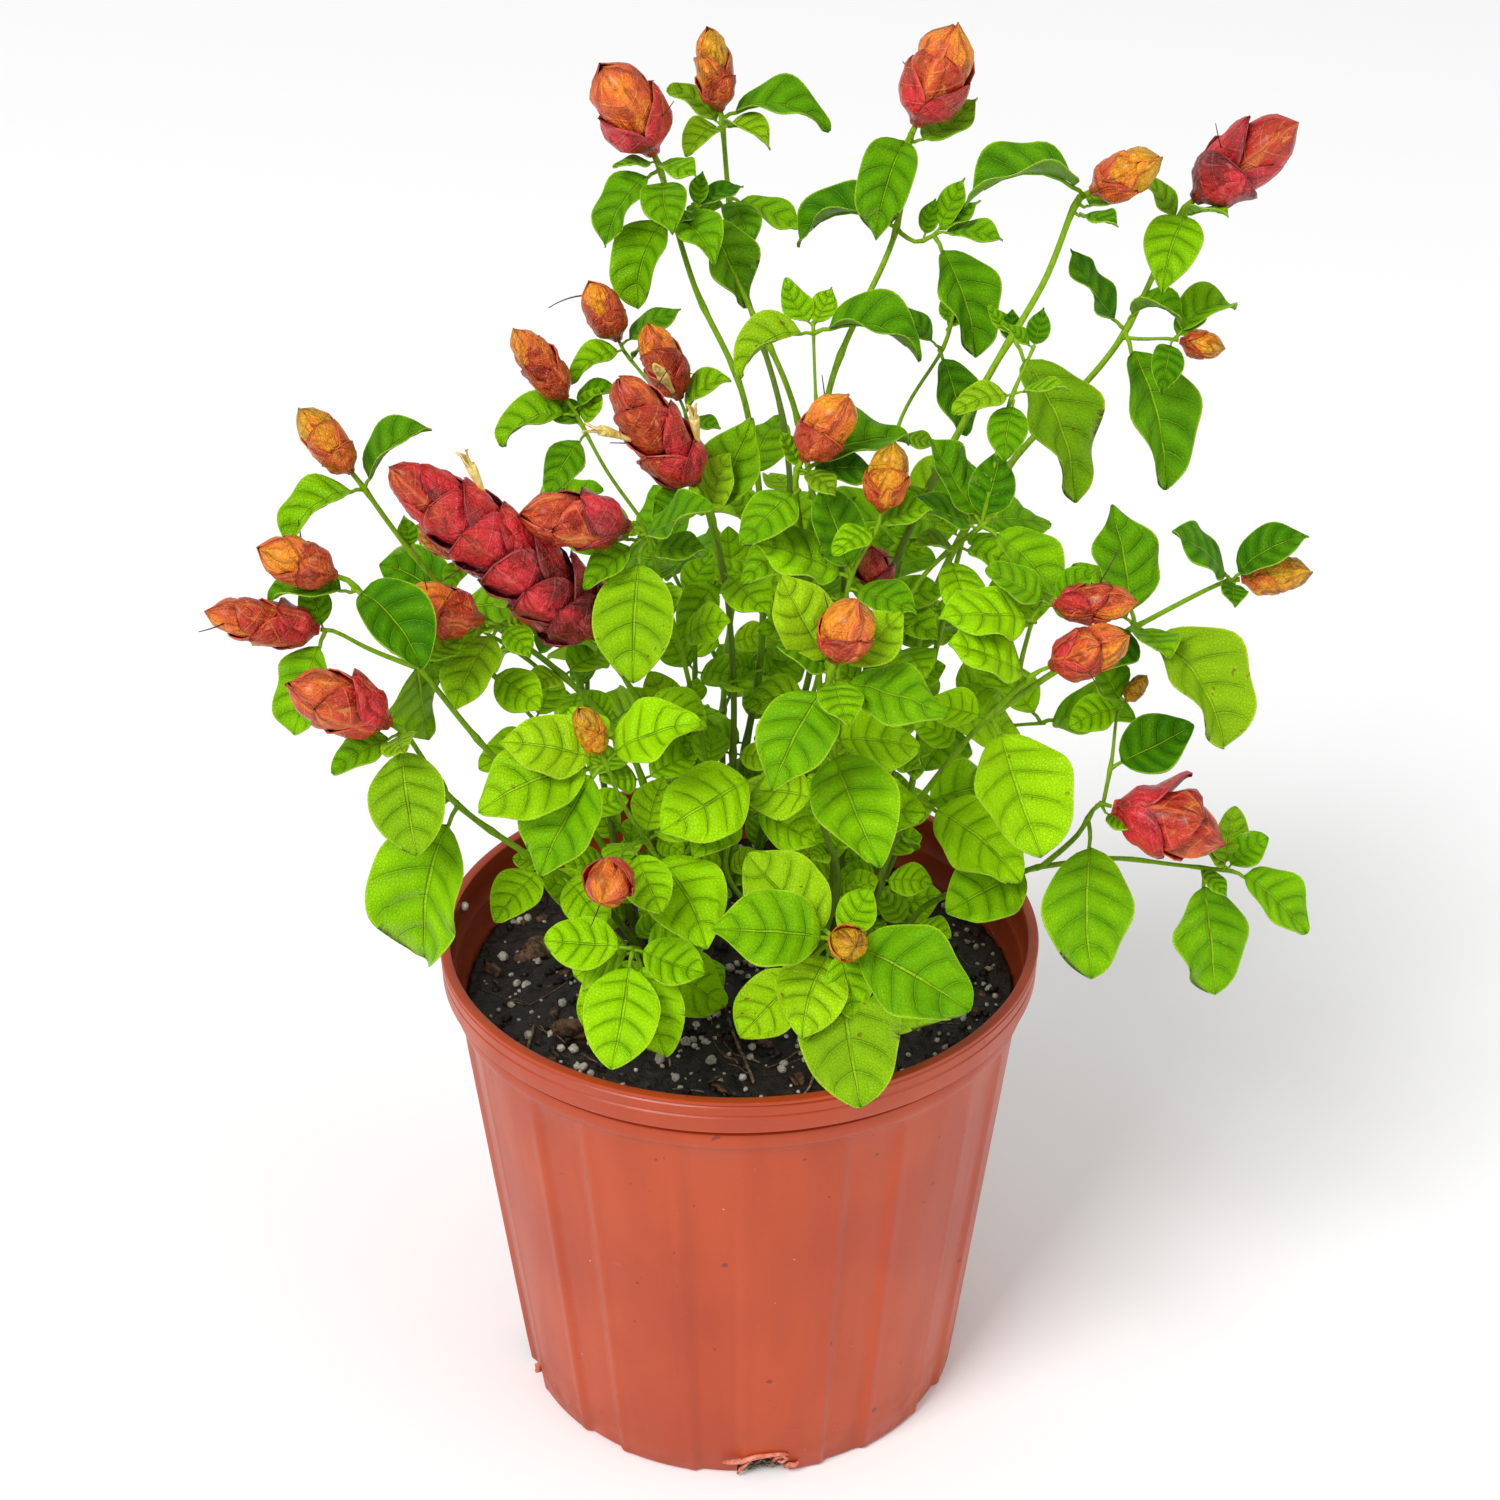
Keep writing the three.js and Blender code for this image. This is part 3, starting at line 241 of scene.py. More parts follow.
# ---- how the plant grows ----
# Points are [x, y, z]. A leaf is [place along the stem, azimuth, pitch, length, arch], and a head is
# [azimuth, pitch, length, width, ripeness, bend]. Azimuth is 0 along +X and -90 toward the front.
soilTop = 163
plants = [
  { "stems": [
    { "radius": 1.5,
      "points": [[-12, 34, soilTop], [8, 38, 285], [2, 68, 362], [-16, 80, 402], [-28, 90, 442]],
      "head": [-158, 66, 39, 25, 0.6, 10],
      "leaves": [[0.93, -125, -55, 35, 80], [0.92, -35, -10, 34, 70], [0.98, -145, -45, 32, 80],
        [0.97, -95, -20, 29, 50], [0.99, -45, 0, 20, 30], [0.99, -150, 5, 17, 30]] },
  ] },
  { "stems": [
    { "radius": 1.4,
      "points": [[4, 44, soilTop], [18, 54, 276], [16, 80, 347], [-1, 101, 404], [-6, 108, 451]],
      "head": [180, 82, 30, 15, 0.35, 0],
      "leaves": [[0.99, -9, -3, 38, 90], [0.98, 157, 28, 24, 60], [0.98, -46, -4, 24, 80],
        [0.98, -125, -10, 22, 80], [0.9, -12, -22, 30, 20], [0.9, -71, -40, 25, 50],
        [0.89, 166, -8, 16, 20]] },
    { "radius": 1.4, "from": [0, 0.1],
      "points": [[28, 46, 289], [20, 62, 360], [2, 74, 399], [-16, 82, 431]],
      "leaves": [[0.99, -50, -62, 40, 40], [0.99, 28, 16, 19, 40], [0.98, -151, -10, 14, 50],
        [0.99, 62, 69, 13, 10]] },
    { "radius": 0.9, "from": [0, 0.08], "points": [[31, 24, 300], [26, 36, 380], [25, 40, 404]],
      "leaves": [[0.98, -161, -25, 29, 90], [0.98, -13, -10, 37, 90], [0.99, 129, 42, 20, -20],
        [0.99, 63, 35, 17, -10]] },
  ] },
  { "stems": [
    { "radius": 1.5,
      "points": [[27, 38, soilTop], [38, 32, 288], [30, 47, 370], [54, 76, 423], [59, 88, 453]],
      "head": [-16, 67, 39, 24, 0.5, -6],
      "leaves": [[0.99, -122, -50, 39, 100], [0.98, 31, 24, 29, -20], [0.885, 172, -14, 34, 120]] },
    { "radius": 0.9, "from": [0, 0.885], "points": [[61, 70, 421], [68, 68, 425]],
      "leaves": [[0.9, -51, -58, 44, 50], [0.7, 47, 66, 14, 0], [0.98, 33, 58, 21, 10],
        [0.98, -16, 0, 23, 40], [0.9, 14, 33, 20, 30]] },
    { "radius": 1.3, "from": [0, 0.1], "points": [[27, 2, 298], [21, -6, 345], [19, -10, 372]],
      "head": [-15, 58, 29, 19, 0.5, 0],
      "leaves": [[0.94, -137, -21, 30, 30], [0.98, 150, 54, 14, 0], [0.98, -51, -11, 17, 30],
        [0.97, 18, 25, 42, 70], [0.97, 9, 11, 26, 30], [0.83, -147, -21, 26, 30], [0.81, 20, 42, 25, 20]] },
  ] },
  { "stems": [
    { "radius": 1.7,
      "points": [[36, 24, soilTop], [50, 20, 309], [82, 34, 381], [103, 44, 417], [114, 50, 444]],
      "head": [-15, 32, 27, 17, 0.25, 0],
      "leaves": [[0.99, -161, 4, 44, 110], [0.98, 38, 36, 27, 20], [0.97, -51, 6, 19, 40],
        [0.82, -46, -58, 60, 35], [0.82, 134, 34, 14, 10], [0.81, 74, 57, 12, 0],
        [0.63, -140, -26, 22, 40]] },
    { "radius": 1.0, "from": [0, 0.1],
      "points": [[46, 46, 300], [56, 56, 360], [71, 62, 386], [74, 64, 397]],
      "leaves": [[0.94, 165, 38, 22, 40], [0.98, 88, 50, 12, 0], [0.94, -56, -56, 32, 50],
        [0.78, -10, -7, 13, 20], [0.97, 25, 26, 17, 40]] },
    { "radius": 1.0, "from": [0, 0.13], "points": [[58, 22, 277], [52, 14, 300], [48, 9, 314]],
      "head": [180, 82, 17, 14, 0.85, 0],
      "leaves": [[0.94, 6, 11, 23, 20], [0.92, -31, -16, 22, 30]] },
  ] },
  { "stems": [
    { "radius": 1.6,
      "points": [[46, 12, soilTop], [67, 22, 308], [92, 44, 346], [131, 60, 388], [152, 68, 434]],
      "head": [-12, 46, 44, 24, 0.9, 8],
      "leaves": [[0.99, -112, -34, 36, 50], [0.98, -50, 16, 20, 50], [0.97, 151, 41, 24, 30],
        [0.84, 168, 55, 34, -10], [0.85, -23, 5, 19, 140], [0.84, -58, -60, 57, 40]] },
    { "radius": 0.8, "from": [0, 0.83], "points": [[139, 56, 391], [147, 54, 392]],
      "head": [-14, -5, 16, 11, 0.35, 0],
      "leaves": [[0.95, 5, -15, 30, 90], [0.9, -108, -44, 20, 70], [0.9, 31, 30, 18, 30]] },
  ] },
  { "stems": [
    { "radius": 1.3, "points": [[52, -4, soilTop], [51, -2, 300], [62, 2, 326], [84, -2, 350]],
      "leaves": [[0.98, 161, 57, 35, 10], [0.98, -31, -33, 40, 50], [0.97, -158, 27, 30, 30],
        [0.97, 0, 20, 24, 40], [0.98, 29, 51, 27, 10], [0.92, -150, 17, 18, 40], [0.92, -24, 4, 26, 30],
        [0.9, -76, -37, 26, 40]] },
    { "radius": 0.9, "from": [0, 0.98], "points": [[86, 4, 372], [90, 6, 390], [97, 8, 408]],
      "leaves": [[0.72, -160, -7, 23, 50], [0.73, -28, 16, 19, 40], [0.7, -104, -43, 22, 40],
        [0.98, 53, 67, 14, 0], [0.98, 168, 39, 14, 30]] },
  ] },
  { "stems": [
    { "radius": 1.5, "points": [[44, -22, soilTop], [52, -26, 234], [74, -36, 281], [86, -42, 300]],
      "leaves": [[0.97, -63, -46, 50, 30], [0.96, 152, -3, 24, 20], [0.84, 145, 15, 19, 30],
        [0.66, -30, -28, 44, 25], [0.64, 22, 12, 36, 20], [0.6, 159, 26, 24, 30]] },
    { "radius": 1.1, "from": [0, 0.98], "points": [[92, -46, 310], [98, -50, 318]],
      "head": [-19, 32, 30, 18, 0.6, 0],
      "leaves": [[0.7, -163, 31, 34, 30]] },
    { "radius": 1.0, "from": [1, 0.45], "points": [[94, -40, 322], [99, -34, 334]],
      "head": [-12, 8, 28, 15, 0.65, 0],
      "leaves": [[0.75, -160, 13, 37, 40], [0.98, 168, 27, 25, 20], [0.98, 8, 40, 19, 20]] },
    { "radius": 1.2, "from": [0, 0.97], "points": [[107, -28, 307], [134, -14, 316], [165, -4, 328]],
      "head": [-5, 10, 24, 14, 0.15, 0],
      "leaves": [[0.6, 113, 61, 42, 10], [0.6, 145, 32, 30, 20], [0.6, -40, -41, 50, 75],
        [0.6, -71, 2, 25, 30], [0.6, -126, -12, 25, 30], [0.97, -165, 44, 32, 30], [0.98, -97, -7, 15, 30],
        [0.97, 21, 10, 34, 60]] },
  ] },
  { "stems": [
    { "radius": 1.5,
      "points": [[40, 4, soilTop], [58, 4, 225], [66, 30, 262], [76, 52, 300], [82, 62, 322]],
      "leaves": [[0.98, 20, -10, 34, 40], [0.97, 200, 10, 30, 30], [0.98, 100, 20, 36, 40],
        [0.97, -80, 35, 26, 30], [0.8, 60, -20, 36, 40], [0.8, 150, 5, 30, 40], [0.6, 10, -25, 40, 40],
        [0.6, 190, 10, 26, 30]] },
  ] },
  { "stems": [
    { "radius": 1.4, "points": [[54, -14, soilTop], [62, -14, 200], [78, -24, 218], [106, -34, 234]],
      "leaves": [[0.96, -149, -9, 38, 20]] },
    { "radius": 1.1, "from": [0, 0.98], "points": [[115, -38, 248], [122, -40, 262]],
      "head": [-15, -8, 40, 24, 0.65, 8],
      "leaves": [[0.7, -89, -58, 52, 20], [0.9, -52, 1, 14, 30]] },
    { "radius": 1.0, "from": [0, 0.97], "points": [[128, -33, 236], [150, -34, 234], [170, -35, 232]],
      "leaves": [[0.84, -76, -64, 44, 15], [0.82, -47, -24, 14, 20], [0.95, 62, 73, 23, 20],
        [0.97, 11, 40, 18, 60], [0.98, -21, -34, 34, 60], [0.98, 170, 40, 18, 30]] },
    { "radius": 0.8, "from": [1, 0.85], "points": [[126, -32, 274], [128, -26, 290]],
      "head": [0, 58, 12, 7, 0, 0],
      "leaves": [[0.4, 8, 28, 32, 20], [0.96, -166, -16, 20, 20], [0.94, 148, 55, 25, 10]] },
  ] },
  { "stems": [
    { "radius": 1.4,
      "points": [[-30, 18, soilTop], [-36, 6, 250], [-60, -2, 290], [-101, -14, 333], [-124, -18, 371]],
      "head": [-165, 58, 29, 14, 0.3, 0],
      "leaves": [[0.97, 16, 39, 30, 70], [0.97, -143, -22, 32, 85], [0.86, 130, 76, 12, 0]] },
    { "radius": 1.0, "from": [0, 0.68], "points": [[-80, -16, 317], [-82, -22, 321]],
      "head": [-165, 22, 30, 20, 0.55, 0],
      "leaves": [[0.5, -16, 16, 26, 50], [0.5, -45, -23, 16, 40], [0.5, -124, -39, 33, 40],
        [0.3, 165, -26, 34, 40]] },
  ] },
  { "stems": [
    { "radius": 1.4,
      "points": [[-36, 6, soilTop], [-52, -10, 234], [-81, -24, 268], [-106, -33, 310], [-127, -38, 345]],
      "head": [-166, 28, 28, 17, 0.5, 0],
      "leaves": [[0.97, -38, -32, 36, 90], [0.96, -172, -7, 29, 60], [0.81, 169, 50, 18, 20],
        [0.81, 83, -70, 40, 30], [0.8, 38, 16, 19, 30]] },
    { "radius": 1.0, "from": [0, 0.79], "points": [[-122, -33, 317], [-134, -33, 324]],
      "head": [-171, 11, 38, 17, 0.55, -8],
      "leaves": [[0.96, 140, 60, 18, 0], [0.95, -133, -63, 36, 30]] },
  ] },
  { "stems": [
    { "radius": 1.4,
      "points": [[-32, -8, soilTop], [-48, -24, 212], [-70, -40, 240], [-95, -52, 270], [-110, -60, 302]],
      "head": [-165, 34, 38, 22, 0.55, 6],
      "leaves": [[0.76, -128, -68, 55, 70], [0.97, -75, -52, 40, 20], [0.97, -160, -12, 25, 30],
        [0.97, -79, 11, 19, 20], [0.5, -132, -23, 27, 30], [0.45, -53, -18, 27, 40], [0.5, 167, 8, 12, 20],
        [0.76, 150, -20, 30, 40]] },
  ] },
  { "stems": [
    { "radius": 1.0,
      "points": [[-22, 12, soilTop], [-36, 2, 215], [-53, -3, 248], [-74, -8, 281], [-88, -12, 301]],
      "leaves": [[0.76, -157, -19, 26, 20], [0.97, -37, -17, 24, 30], [0.8, 41, 59, 20, 10],
        [0.97, 160, 0, 28, 40]] },
  ] },
  { "stems": [
    { "radius": 1.4, "points": [[-12, 40, soilTop], [-14, 22, 236], [-38, 2, 284], [-45, -10, 308]],
      "head": [-165, 50, 97, 30, 0.95, 8],
      "leaves": [[0.95, -135, 70, 26, 20], [0.76, -30, -9, 27, 40], [0.74, 148, -40, 32, 30],
        [0.61, 135, 61, 25, 20]] },
    { "radius": 0.8, "from": [0, 0.73], "points": [[-50, 20, 290], [-76, 26, 306], [-92, 28, 320]],
      "head": [180, 34, 20, 12, 0.35, 0],
      "leaves": [[0.97, -127, -40, 15, 50]] },
  ] },
  { "stems": [
    { "radius": 1.4, "points": [[-6, 24, soilTop], [-2, 20, 269], [-5, 18, 317], [-12, 14, 353]],
      "head": [-161, 53, 50, 23, 0.8, -10],
      "leaves": [[0.92, 44, 57, 38, 10], [0.92, 0, 50, 26, 20], [0.95, -128, 27, 28, 30],
        [0.81, -50, -14, 26, 30], [0.8, -142, -44, 26, 40]] },
    { "radius": 0.9, "from": [0, 0.79], "points": [[-12, 34, 340], [-17, 44, 360], [-19, 46, 369]],
      "head": [180, 69, 30, 16, 0.55, 0],
      "leaves": [[0.9, -7, 42, 22, 80], [0.88, -20, -2, 13, 30], [0.84, 152, -24, 16, 40]] },
    { "radius": 0.8, "from": [1, 0.79], "points": [[-27, 52, 371], [-35, 58, 379], [-40, 60, 385]],
      "head": [180, 66, 24, 15, 0.55, 0],
      "leaves": [[0.9, -150, -19, 23, 80], [0.96, 17, 27, 24, 30], [0.82, -37, 52, 11, 20]] },
    { "radius": 1.2, "from": [0, 0.12],
      "points": [[-9, 14, 230], [-19, 5, 292], [-27, -8, 332], [-32, -14, 352]],
      "head": [-167, 16, 38, 21, 0.7, 6],
      "leaves": [[0.97, -28, 32, 34, 10], [0.95, -95, -54, 46, 30], [0.96, -150, -19, 24, 30],
        [0.93, -14, 9, 22, 20], [0.96, 172, -8, 32, 20]] },
  ] },
  { "stems": [
    { "radius": 1.0,
      "points": [[-30, 34, soilTop], [-16, 30, 289], [-27, 31, 322], [-46, 34, 352], [-57, 40, 372]],
      "head": [180, 57, 31, 15, 0.5, 0],
      "leaves": [[0.97, -176, -9, 28, 90], [0.95, 151, 35, 18, 10], [0.95, 34, 62, 16, 0],
        [0.94, -134, -44, 25, 40], [0.98, 29, 17, 19, 50]] },
  ] },
  { "stems": [
    { "radius": 1.0, "points": [[33, -2, soilTop], [34, -12, 303], [37, -18, 335], [46, -22, 358]],
      "head": [0, 82, 25, 15, 0.25, 0],
      "leaves": [[0.86, -169, 26, 38, 20], [0.86, 154, 57, 34, 10], [0.97, -136, -10, 20, 30],
        [0.97, 0, 19, 20, 30], [0.84, -30, -6, 26, 30]] },
  ] },
  { "stems": [
    { "radius": 1.5,
      "points": [[24, -16, soilTop], [34, -28, 222], [28, -50, 262], [28, -68, 300], [29, -82, 335]],
      "head": [-29, 71, 25, 20, 0.5, 0],
      "leaves": [[0.97, 145, 67, 36, 10], [0.98, 26, 65, 32, -10], [0.96, -125, -37, 42, 30],
        [0.96, -77, -16, 22, 20], [0.97, -166, 34, 22, 20], [0.79, -63, -35, 46, 40],
        [0.95, -12, -12, 38, 25],
        [0.8, 17, -15, 34, 20], [0.62, 162, -6, 30, 20], [0.6, -5, -2, 34, 10]] },
    { "radius": 1.0, "from": [0, 0.1], "points": [[-4, -34, 230], [2, -48, 264], [10, -58, 287]],
      "leaves": [[0.95, -150, -14, 40, 30], [0.98, 55, 57, 23, 10], [0.78, -133, -14, 26, 30],
        [0.8, 0, -31, 27, 20], [0.7, 164, 40, 24, 20]] },
  ] },
  { "stems": [
    { "radius": 1.0, "points": [[14, -30, soilTop], [20, -48, 190], [25, -74, 222], [32, -96, 244]],
      "head": [-74, 25, 17, 13, 0.05, 0],
      "leaves": [[0.97, -19, -21, 48, 35], [0.97, -171, 12, 42, 30], [0.96, 142, 40, 42, 10],
        [0.98, 39, 48, 20, 20], [0.96, -37, -32, 28, 20], [0.92, -72, -58, 54, 30], [0.9, -110, -43, 34, 20],
        [0.6, -157, -40, 34, 30], [0.7, 2, -32, 50, 30]] },
  ] },
  { "stems": [
    { "radius": 1.1,
      "points": [[-14, -18, soilTop], [-17, -36, 211], [-30, -60, 258], [-38, -66, 277], [-43, -72, 296]],
      "head": [-163, 69, 19, 11, 0.1, 0],
      "leaves": [[0.97, -125, -48, 42, 50], [0.97, -8, 29, 36, 60], [0.98, 152, 50, 26, 10],
        [0.97, 170, -8, 35, 30], [0.96, -165, -14, 44, 40], [0.68, -54, -35, 40, 30], [0.71, 64, 50, 22, 10],
        [0.7, 19, 15, 26, 20]] },
    { "radius": 0.9, "from": [0, 0.7], "points": [[-33, -72, 266], [-38, -86, 271]],
      "head": [-105, -14, 20, 17, 0.65, 0],
      "leaves": [[0.6, -58, -42, 24, 20]] },
  ] },
  { "stems": [
    { "radius": 1.0, "points": [[-28, -30, soilTop], [-30, -54, 203], [-33, -68, 221], [-36, -80, 230]],
      "leaves": [[0.97, 170, 0, 30, 20], [0.97, -18, -10, 26, 20], [0.95, -106, -50, 40, 20],
        [0.9, -60, -45, 36, 30], [0.9, 156, -35, 28, 30], [0.86, 27, -6, 26, 20], [0.7, 8, -39, 34, 30],
        [0.6, -150, -30, 30, 30]] },
  ] },
  { "stems": [
    { "radius": 1.4, "points": [[-44, 42, soilTop], [-56, 64, 238], [-78, 92, 300]],
      "pairs": [0.45, 3, 38, 20] },
    { "radius": 1.0, "from": [0, 0.54], "points": [[-82, 70, 262], [-106, 62, 282]],
      "pairs": [0.6, 2, 34, 70] },
    { "radius": 1.0, "from": [0, 0.54], "points": [[-56, 96, 262], [-48, 118, 276]],
      "pairs": [0.6, 2, 32, 50] },
  ] },
  { "stems": [
    { "radius": 1.4, "points": [[-6, 60, soilTop], [-6, 84, 240], [4, 116, 312]],
      "pairs": [0.45, 3, 38, 65] },
    { "radius": 1.0, "from": [0, 0.52], "points": [[-20, 118, 262], [-24, 142, 268]],
      "pairs": [0.6, 2, 36, 20] },
    { "radius": 1.0, "from": [0, 0.52], "points": [[22, 104, 256], [38, 136, 258]],
      "pairs": [0.6, 2, 36, 80] },
  ] },
  { "stems": [
    { "radius": 1.4, "points": [[34, 64, soilTop], [50, 84, 240], [64, 108, 300]],
      "pairs": [0.45, 3, 38, 35] },
    { "radius": 1.0, "from": [0, 0.57], "points": [[84, 92, 262], [112, 84, 276]],
      "pairs": [0.6, 2, 34, 10] },
    { "radius": 1.0, "from": [0, 0.48], "points": [[76, 52, 240], [110, 34, 252]],
      "pairs": [0.6, 2, 34, 60] },
  ] },
]

# Tubular flowers: [head, place along it, turn round it, length].
corollas = [[18, 0.68, 80, 22], [20, 0.6, -70, 20], [20, 0.25, 70, 20], [21, 0.2, 0, 18]]

# Small turns of a leaf that stands aside from its neighbours: [pitch, azimuth, size].
turnsAside = [[0, 0, 1], [12, 0, 1], [-12, 0, 1], [0, 14, 1], [0, -14, 1], [22, 12, 1], [22, -12, 1],
  [-22, 12, 1], [-22, -12, 1], [0, 28, 0.95], [0, -28, 0.95], [34, 0, 0.9], [-34, 0, 0.9], [28, 28, 0.9],
  [28, -28, 0.9], [-28, 28, 0.9], [-28, -28, 0.9], [0, 45, 0.85], [0, -45, 0.85], [50, 0, 0.8],
  [40, 50, 0.75], [40, -50, 0.75], [-40, 50, 0.75], [-40, -50, 0.75], [60, 90, 0.65], [60, -90, 0.65]]


# ---- lines of growth ----
class Course:
    # a smooth line through points, followed by its length
    marks = 200

    def __init__(self, points):
        self.points = points
        self.spots = [self.spot(mark / self.marks) for mark in range(self.marks + 1)]
        self.lengths = [0]
        for one, other in zip(self.spots, self.spots[1:]):
            self.lengths.append(self.lengths[-1] + (other - one).length)

    def spot(self, time):
        points = self.points
        last = len(points) - 1
        span = min(int(last * time), last - 1)
        weight = last * time - span
        near, far = points[span], points[span + 1]
        before = points[span - 1] if span > 0 else near * 2 - far
        after = points[span + 2] if span + 2 <= last else far * 2 - near
        gaps = [(other - one).length ** 0.5 for one, other in ((before, near), (near, far), (far, after))]
        middle = gaps[1] if gaps[1] > 1e-4 else 1
        first = gaps[0] if gaps[0] > 1e-4 else middle
        final = gaps[2] if gaps[2] > 1e-4 else middle
        leaving = (near - before) / first - (far - before) / (first + middle) + (far - near) / middle
        arriving = (far - near) / middle - (after - near) / (middle + final) + (after - far) / final
        leaving, arriving = leaving * middle, arriving * middle
        square = far * 3 - near * 3 - leaving * 2 - arriving
        cube = near * 2 - far * 2 + leaving + arriving
        return near + leaving * weight + square * weight ** 2 + cube * weight ** 3

    @property
    def length(self):
        return self.lengths[-1]

    def at(self, share):
        wanted = clamp(share) * self.length
        low, high = 0, self.marks
        while high - low > 1:
            middle = (low + high) // 2
            if self.lengths[middle] <= wanted:
                low = middle
            else:
                high = middle
        span = self.lengths[high] - self.lengths[low]
        part = (wanted - self.lengths[low]) / span if span else 0
        return self.spot((low + part) / self.marks)


def alongKnots(knots, share):
    # a point on the straight runs from knot to knot
    runs = [(other - one).length for one, other in zip(knots, knots[1:])]
    wanted = share * sum(runs)
    for index, run in enumerate(runs):
        if wanted <= run or index == len(runs) - 1:
            return knots[index].lerp(knots[index + 1], wanted / run)
        wanted -= run


def alongArc(base, azimuth, pitch, length, arch, share):
    # a line that starts at the base and bends down evenly, with its chord at the given pitch
    bend = radians(1 if abs(arch) < 1 else arch)
    start = radians(pitch) + bend / 2
    scale = length / (2 * math.sin(bend / 2))
    out = scale * (math.sin(start) - math.sin(start - bend * share))
    rise = scale * (math.cos(start - bend * share) - math.cos(start))
    place = base + bearing(azimuth, 0) * out
    place.z += rise
    return place, bearing(azimuth, pitch + arch * (0.5 - share))


growth = {"stemStep": 34, "neckLength": 4, "buried": 19, "petioleShare": 0.15, "leafShortest": 24,
          "lightCentre": Vector((0, 150, 0)), "lightRise": 1.1, "risePerHeight": 0.03, "openFrom": 290,
          "slimPerHeight": 0.001, "largestRoll": radians(60), "foldPerArch": 0.007, "foldFreeArch": 40}


def stemLines(stem, parents):
    points = [Vector(point) for point in stem["points"]]
    if "from" in stem:
        parent, share = stem["from"]
        points.insert(0, alongKnots(parents[parent]["knots"], share))
    else:
        points.insert(1, Vector((points[0].x, points[0].y, soilTop + 8)))
    if "head" in stem:
        points.append(points[-1] + bearing(*stem["head"][:2]) * growth["neckLength"])
    course = Course(points)
    steps = max(2, math.ceil(course.length / growth["stemStep"]))
    knots = [course.at(step / steps) for step in range(steps + 1)]
    return {"stem": stem, "course": course, "knots": knots}


def pairedLeaves(start, count, length, turn):
    leaves = []
    for index in range(count * 2):
        pair = index // 2
        along = start + (0.98 - start) * pair / (count - 1)
        pitch = [18, -4, 8, 30][(pair + index) % 4]
        size = [1, 0.86, 1.12, 0.94][(index * 3 + pair) % 4]
        arch = [40, 25, 55][index % 3]
        leaves.append([along, turn + pair * 90 + (index % 2) * 180, pitch, length * size, arch])
    return leaves


def rollToLight(base, azimuth, pitch):
    outward = base - growth["lightCentre"]
    outward.z = 0
    rise = growth["lightRise"] + growth["risePerHeight"] * max(0, base.z - growth["openFrom"])
    target = outward.normalized() + Vector((0, 0, rise))
    side = bearing(azimuth + 90, 0)
    normal = bearing(azimuth, pitch).cross(side)
    roll = math.atan2(-target.dot(side), target.dot(normal)) * 0.85
    return clamp(roll, -growth["largestRoll"], growth["largestRoll"])


def leafFrame(base, leaf, roll, share):
    azimuth, pitch, length, arch = leaf[1:]
    place, direction = alongArc(base, azimuth, pitch, length, arch, share)
    level = bearing(azimuth + 90, 0)
    side = level * math.cos(roll) + direction.cross(level) * math.sin(roll)
    return place, side, direction.cross(side)


def settledLeaf(solid, base, leaf):
    # the stance in which the leaf lies on its node's solid
    def misfit(turn):
        tried = turned(leaf, turn)
        roll = rollToLight(base, tried[1], tried[2])
        gap = 0
        for share, across in ((1, 0), (0.8, 0), (0.6, 0), (0.49, 0.34), (0.49, -0.34)):
            place, side, _ = leafFrame(base, tried, roll, share)
            found = solid.find_nearest((place + side * tried[3] * across) * mm)
            gap += min(found[3] / mm, 4) * (3 if share == 1 else 1)
        return gap

    return turned(leaf, min(turnsAside, key=misfit))


def turned(leaf, turn):
    along, azimuth, pitch, length, arch = leaf
    lift, swing, size = turn
    return [along, azimuth + swing, pitch + lift, length * size, arch]


def solidOf(name):
    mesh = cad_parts[name].data
    return BVHTree.FromPolygons([vert.co for vert in mesh.vertices],
                                [face.vertices for face in mesh.polygons])


# ---- leaves ----
blade = {"across": 8, "veins": 5, "halfWidth": 0.34, "sweep": 0.26, "quilt": 0.011, "groove": 0.016,
         "fold": 0.14, "wave": 0.05, "thickness": 0.45, "petiole": 0.75, "ripple": 0.022, "curl": 0.06,
         "swerve": 0.045, "grooveHalf": 0.2}
# The stalk runs on as the midrib: [share of the leaf, radius as a share of the petiole's].
stalkProfile = [[0.04, 1], [0.09, 0.9], [0.15, 0.85], [0.25, 0.75], [0.4, 0.6], [0.55, 0.48], [0.7, 0.36],
                [0.84, 0.22]]


def bladeWidth(share, roundness):
    # share of the half width, from a drawn-out point to a round end
    power = 0.7 + 0.2 * roundness
    edge = math.sin(math.pi * clamp(share) ** power) ** (0.9 - 0.2 * roundness)
    return edge * (1 - 0.34 * (1 - roundness) * ease((share - 0.66) / 0.34))


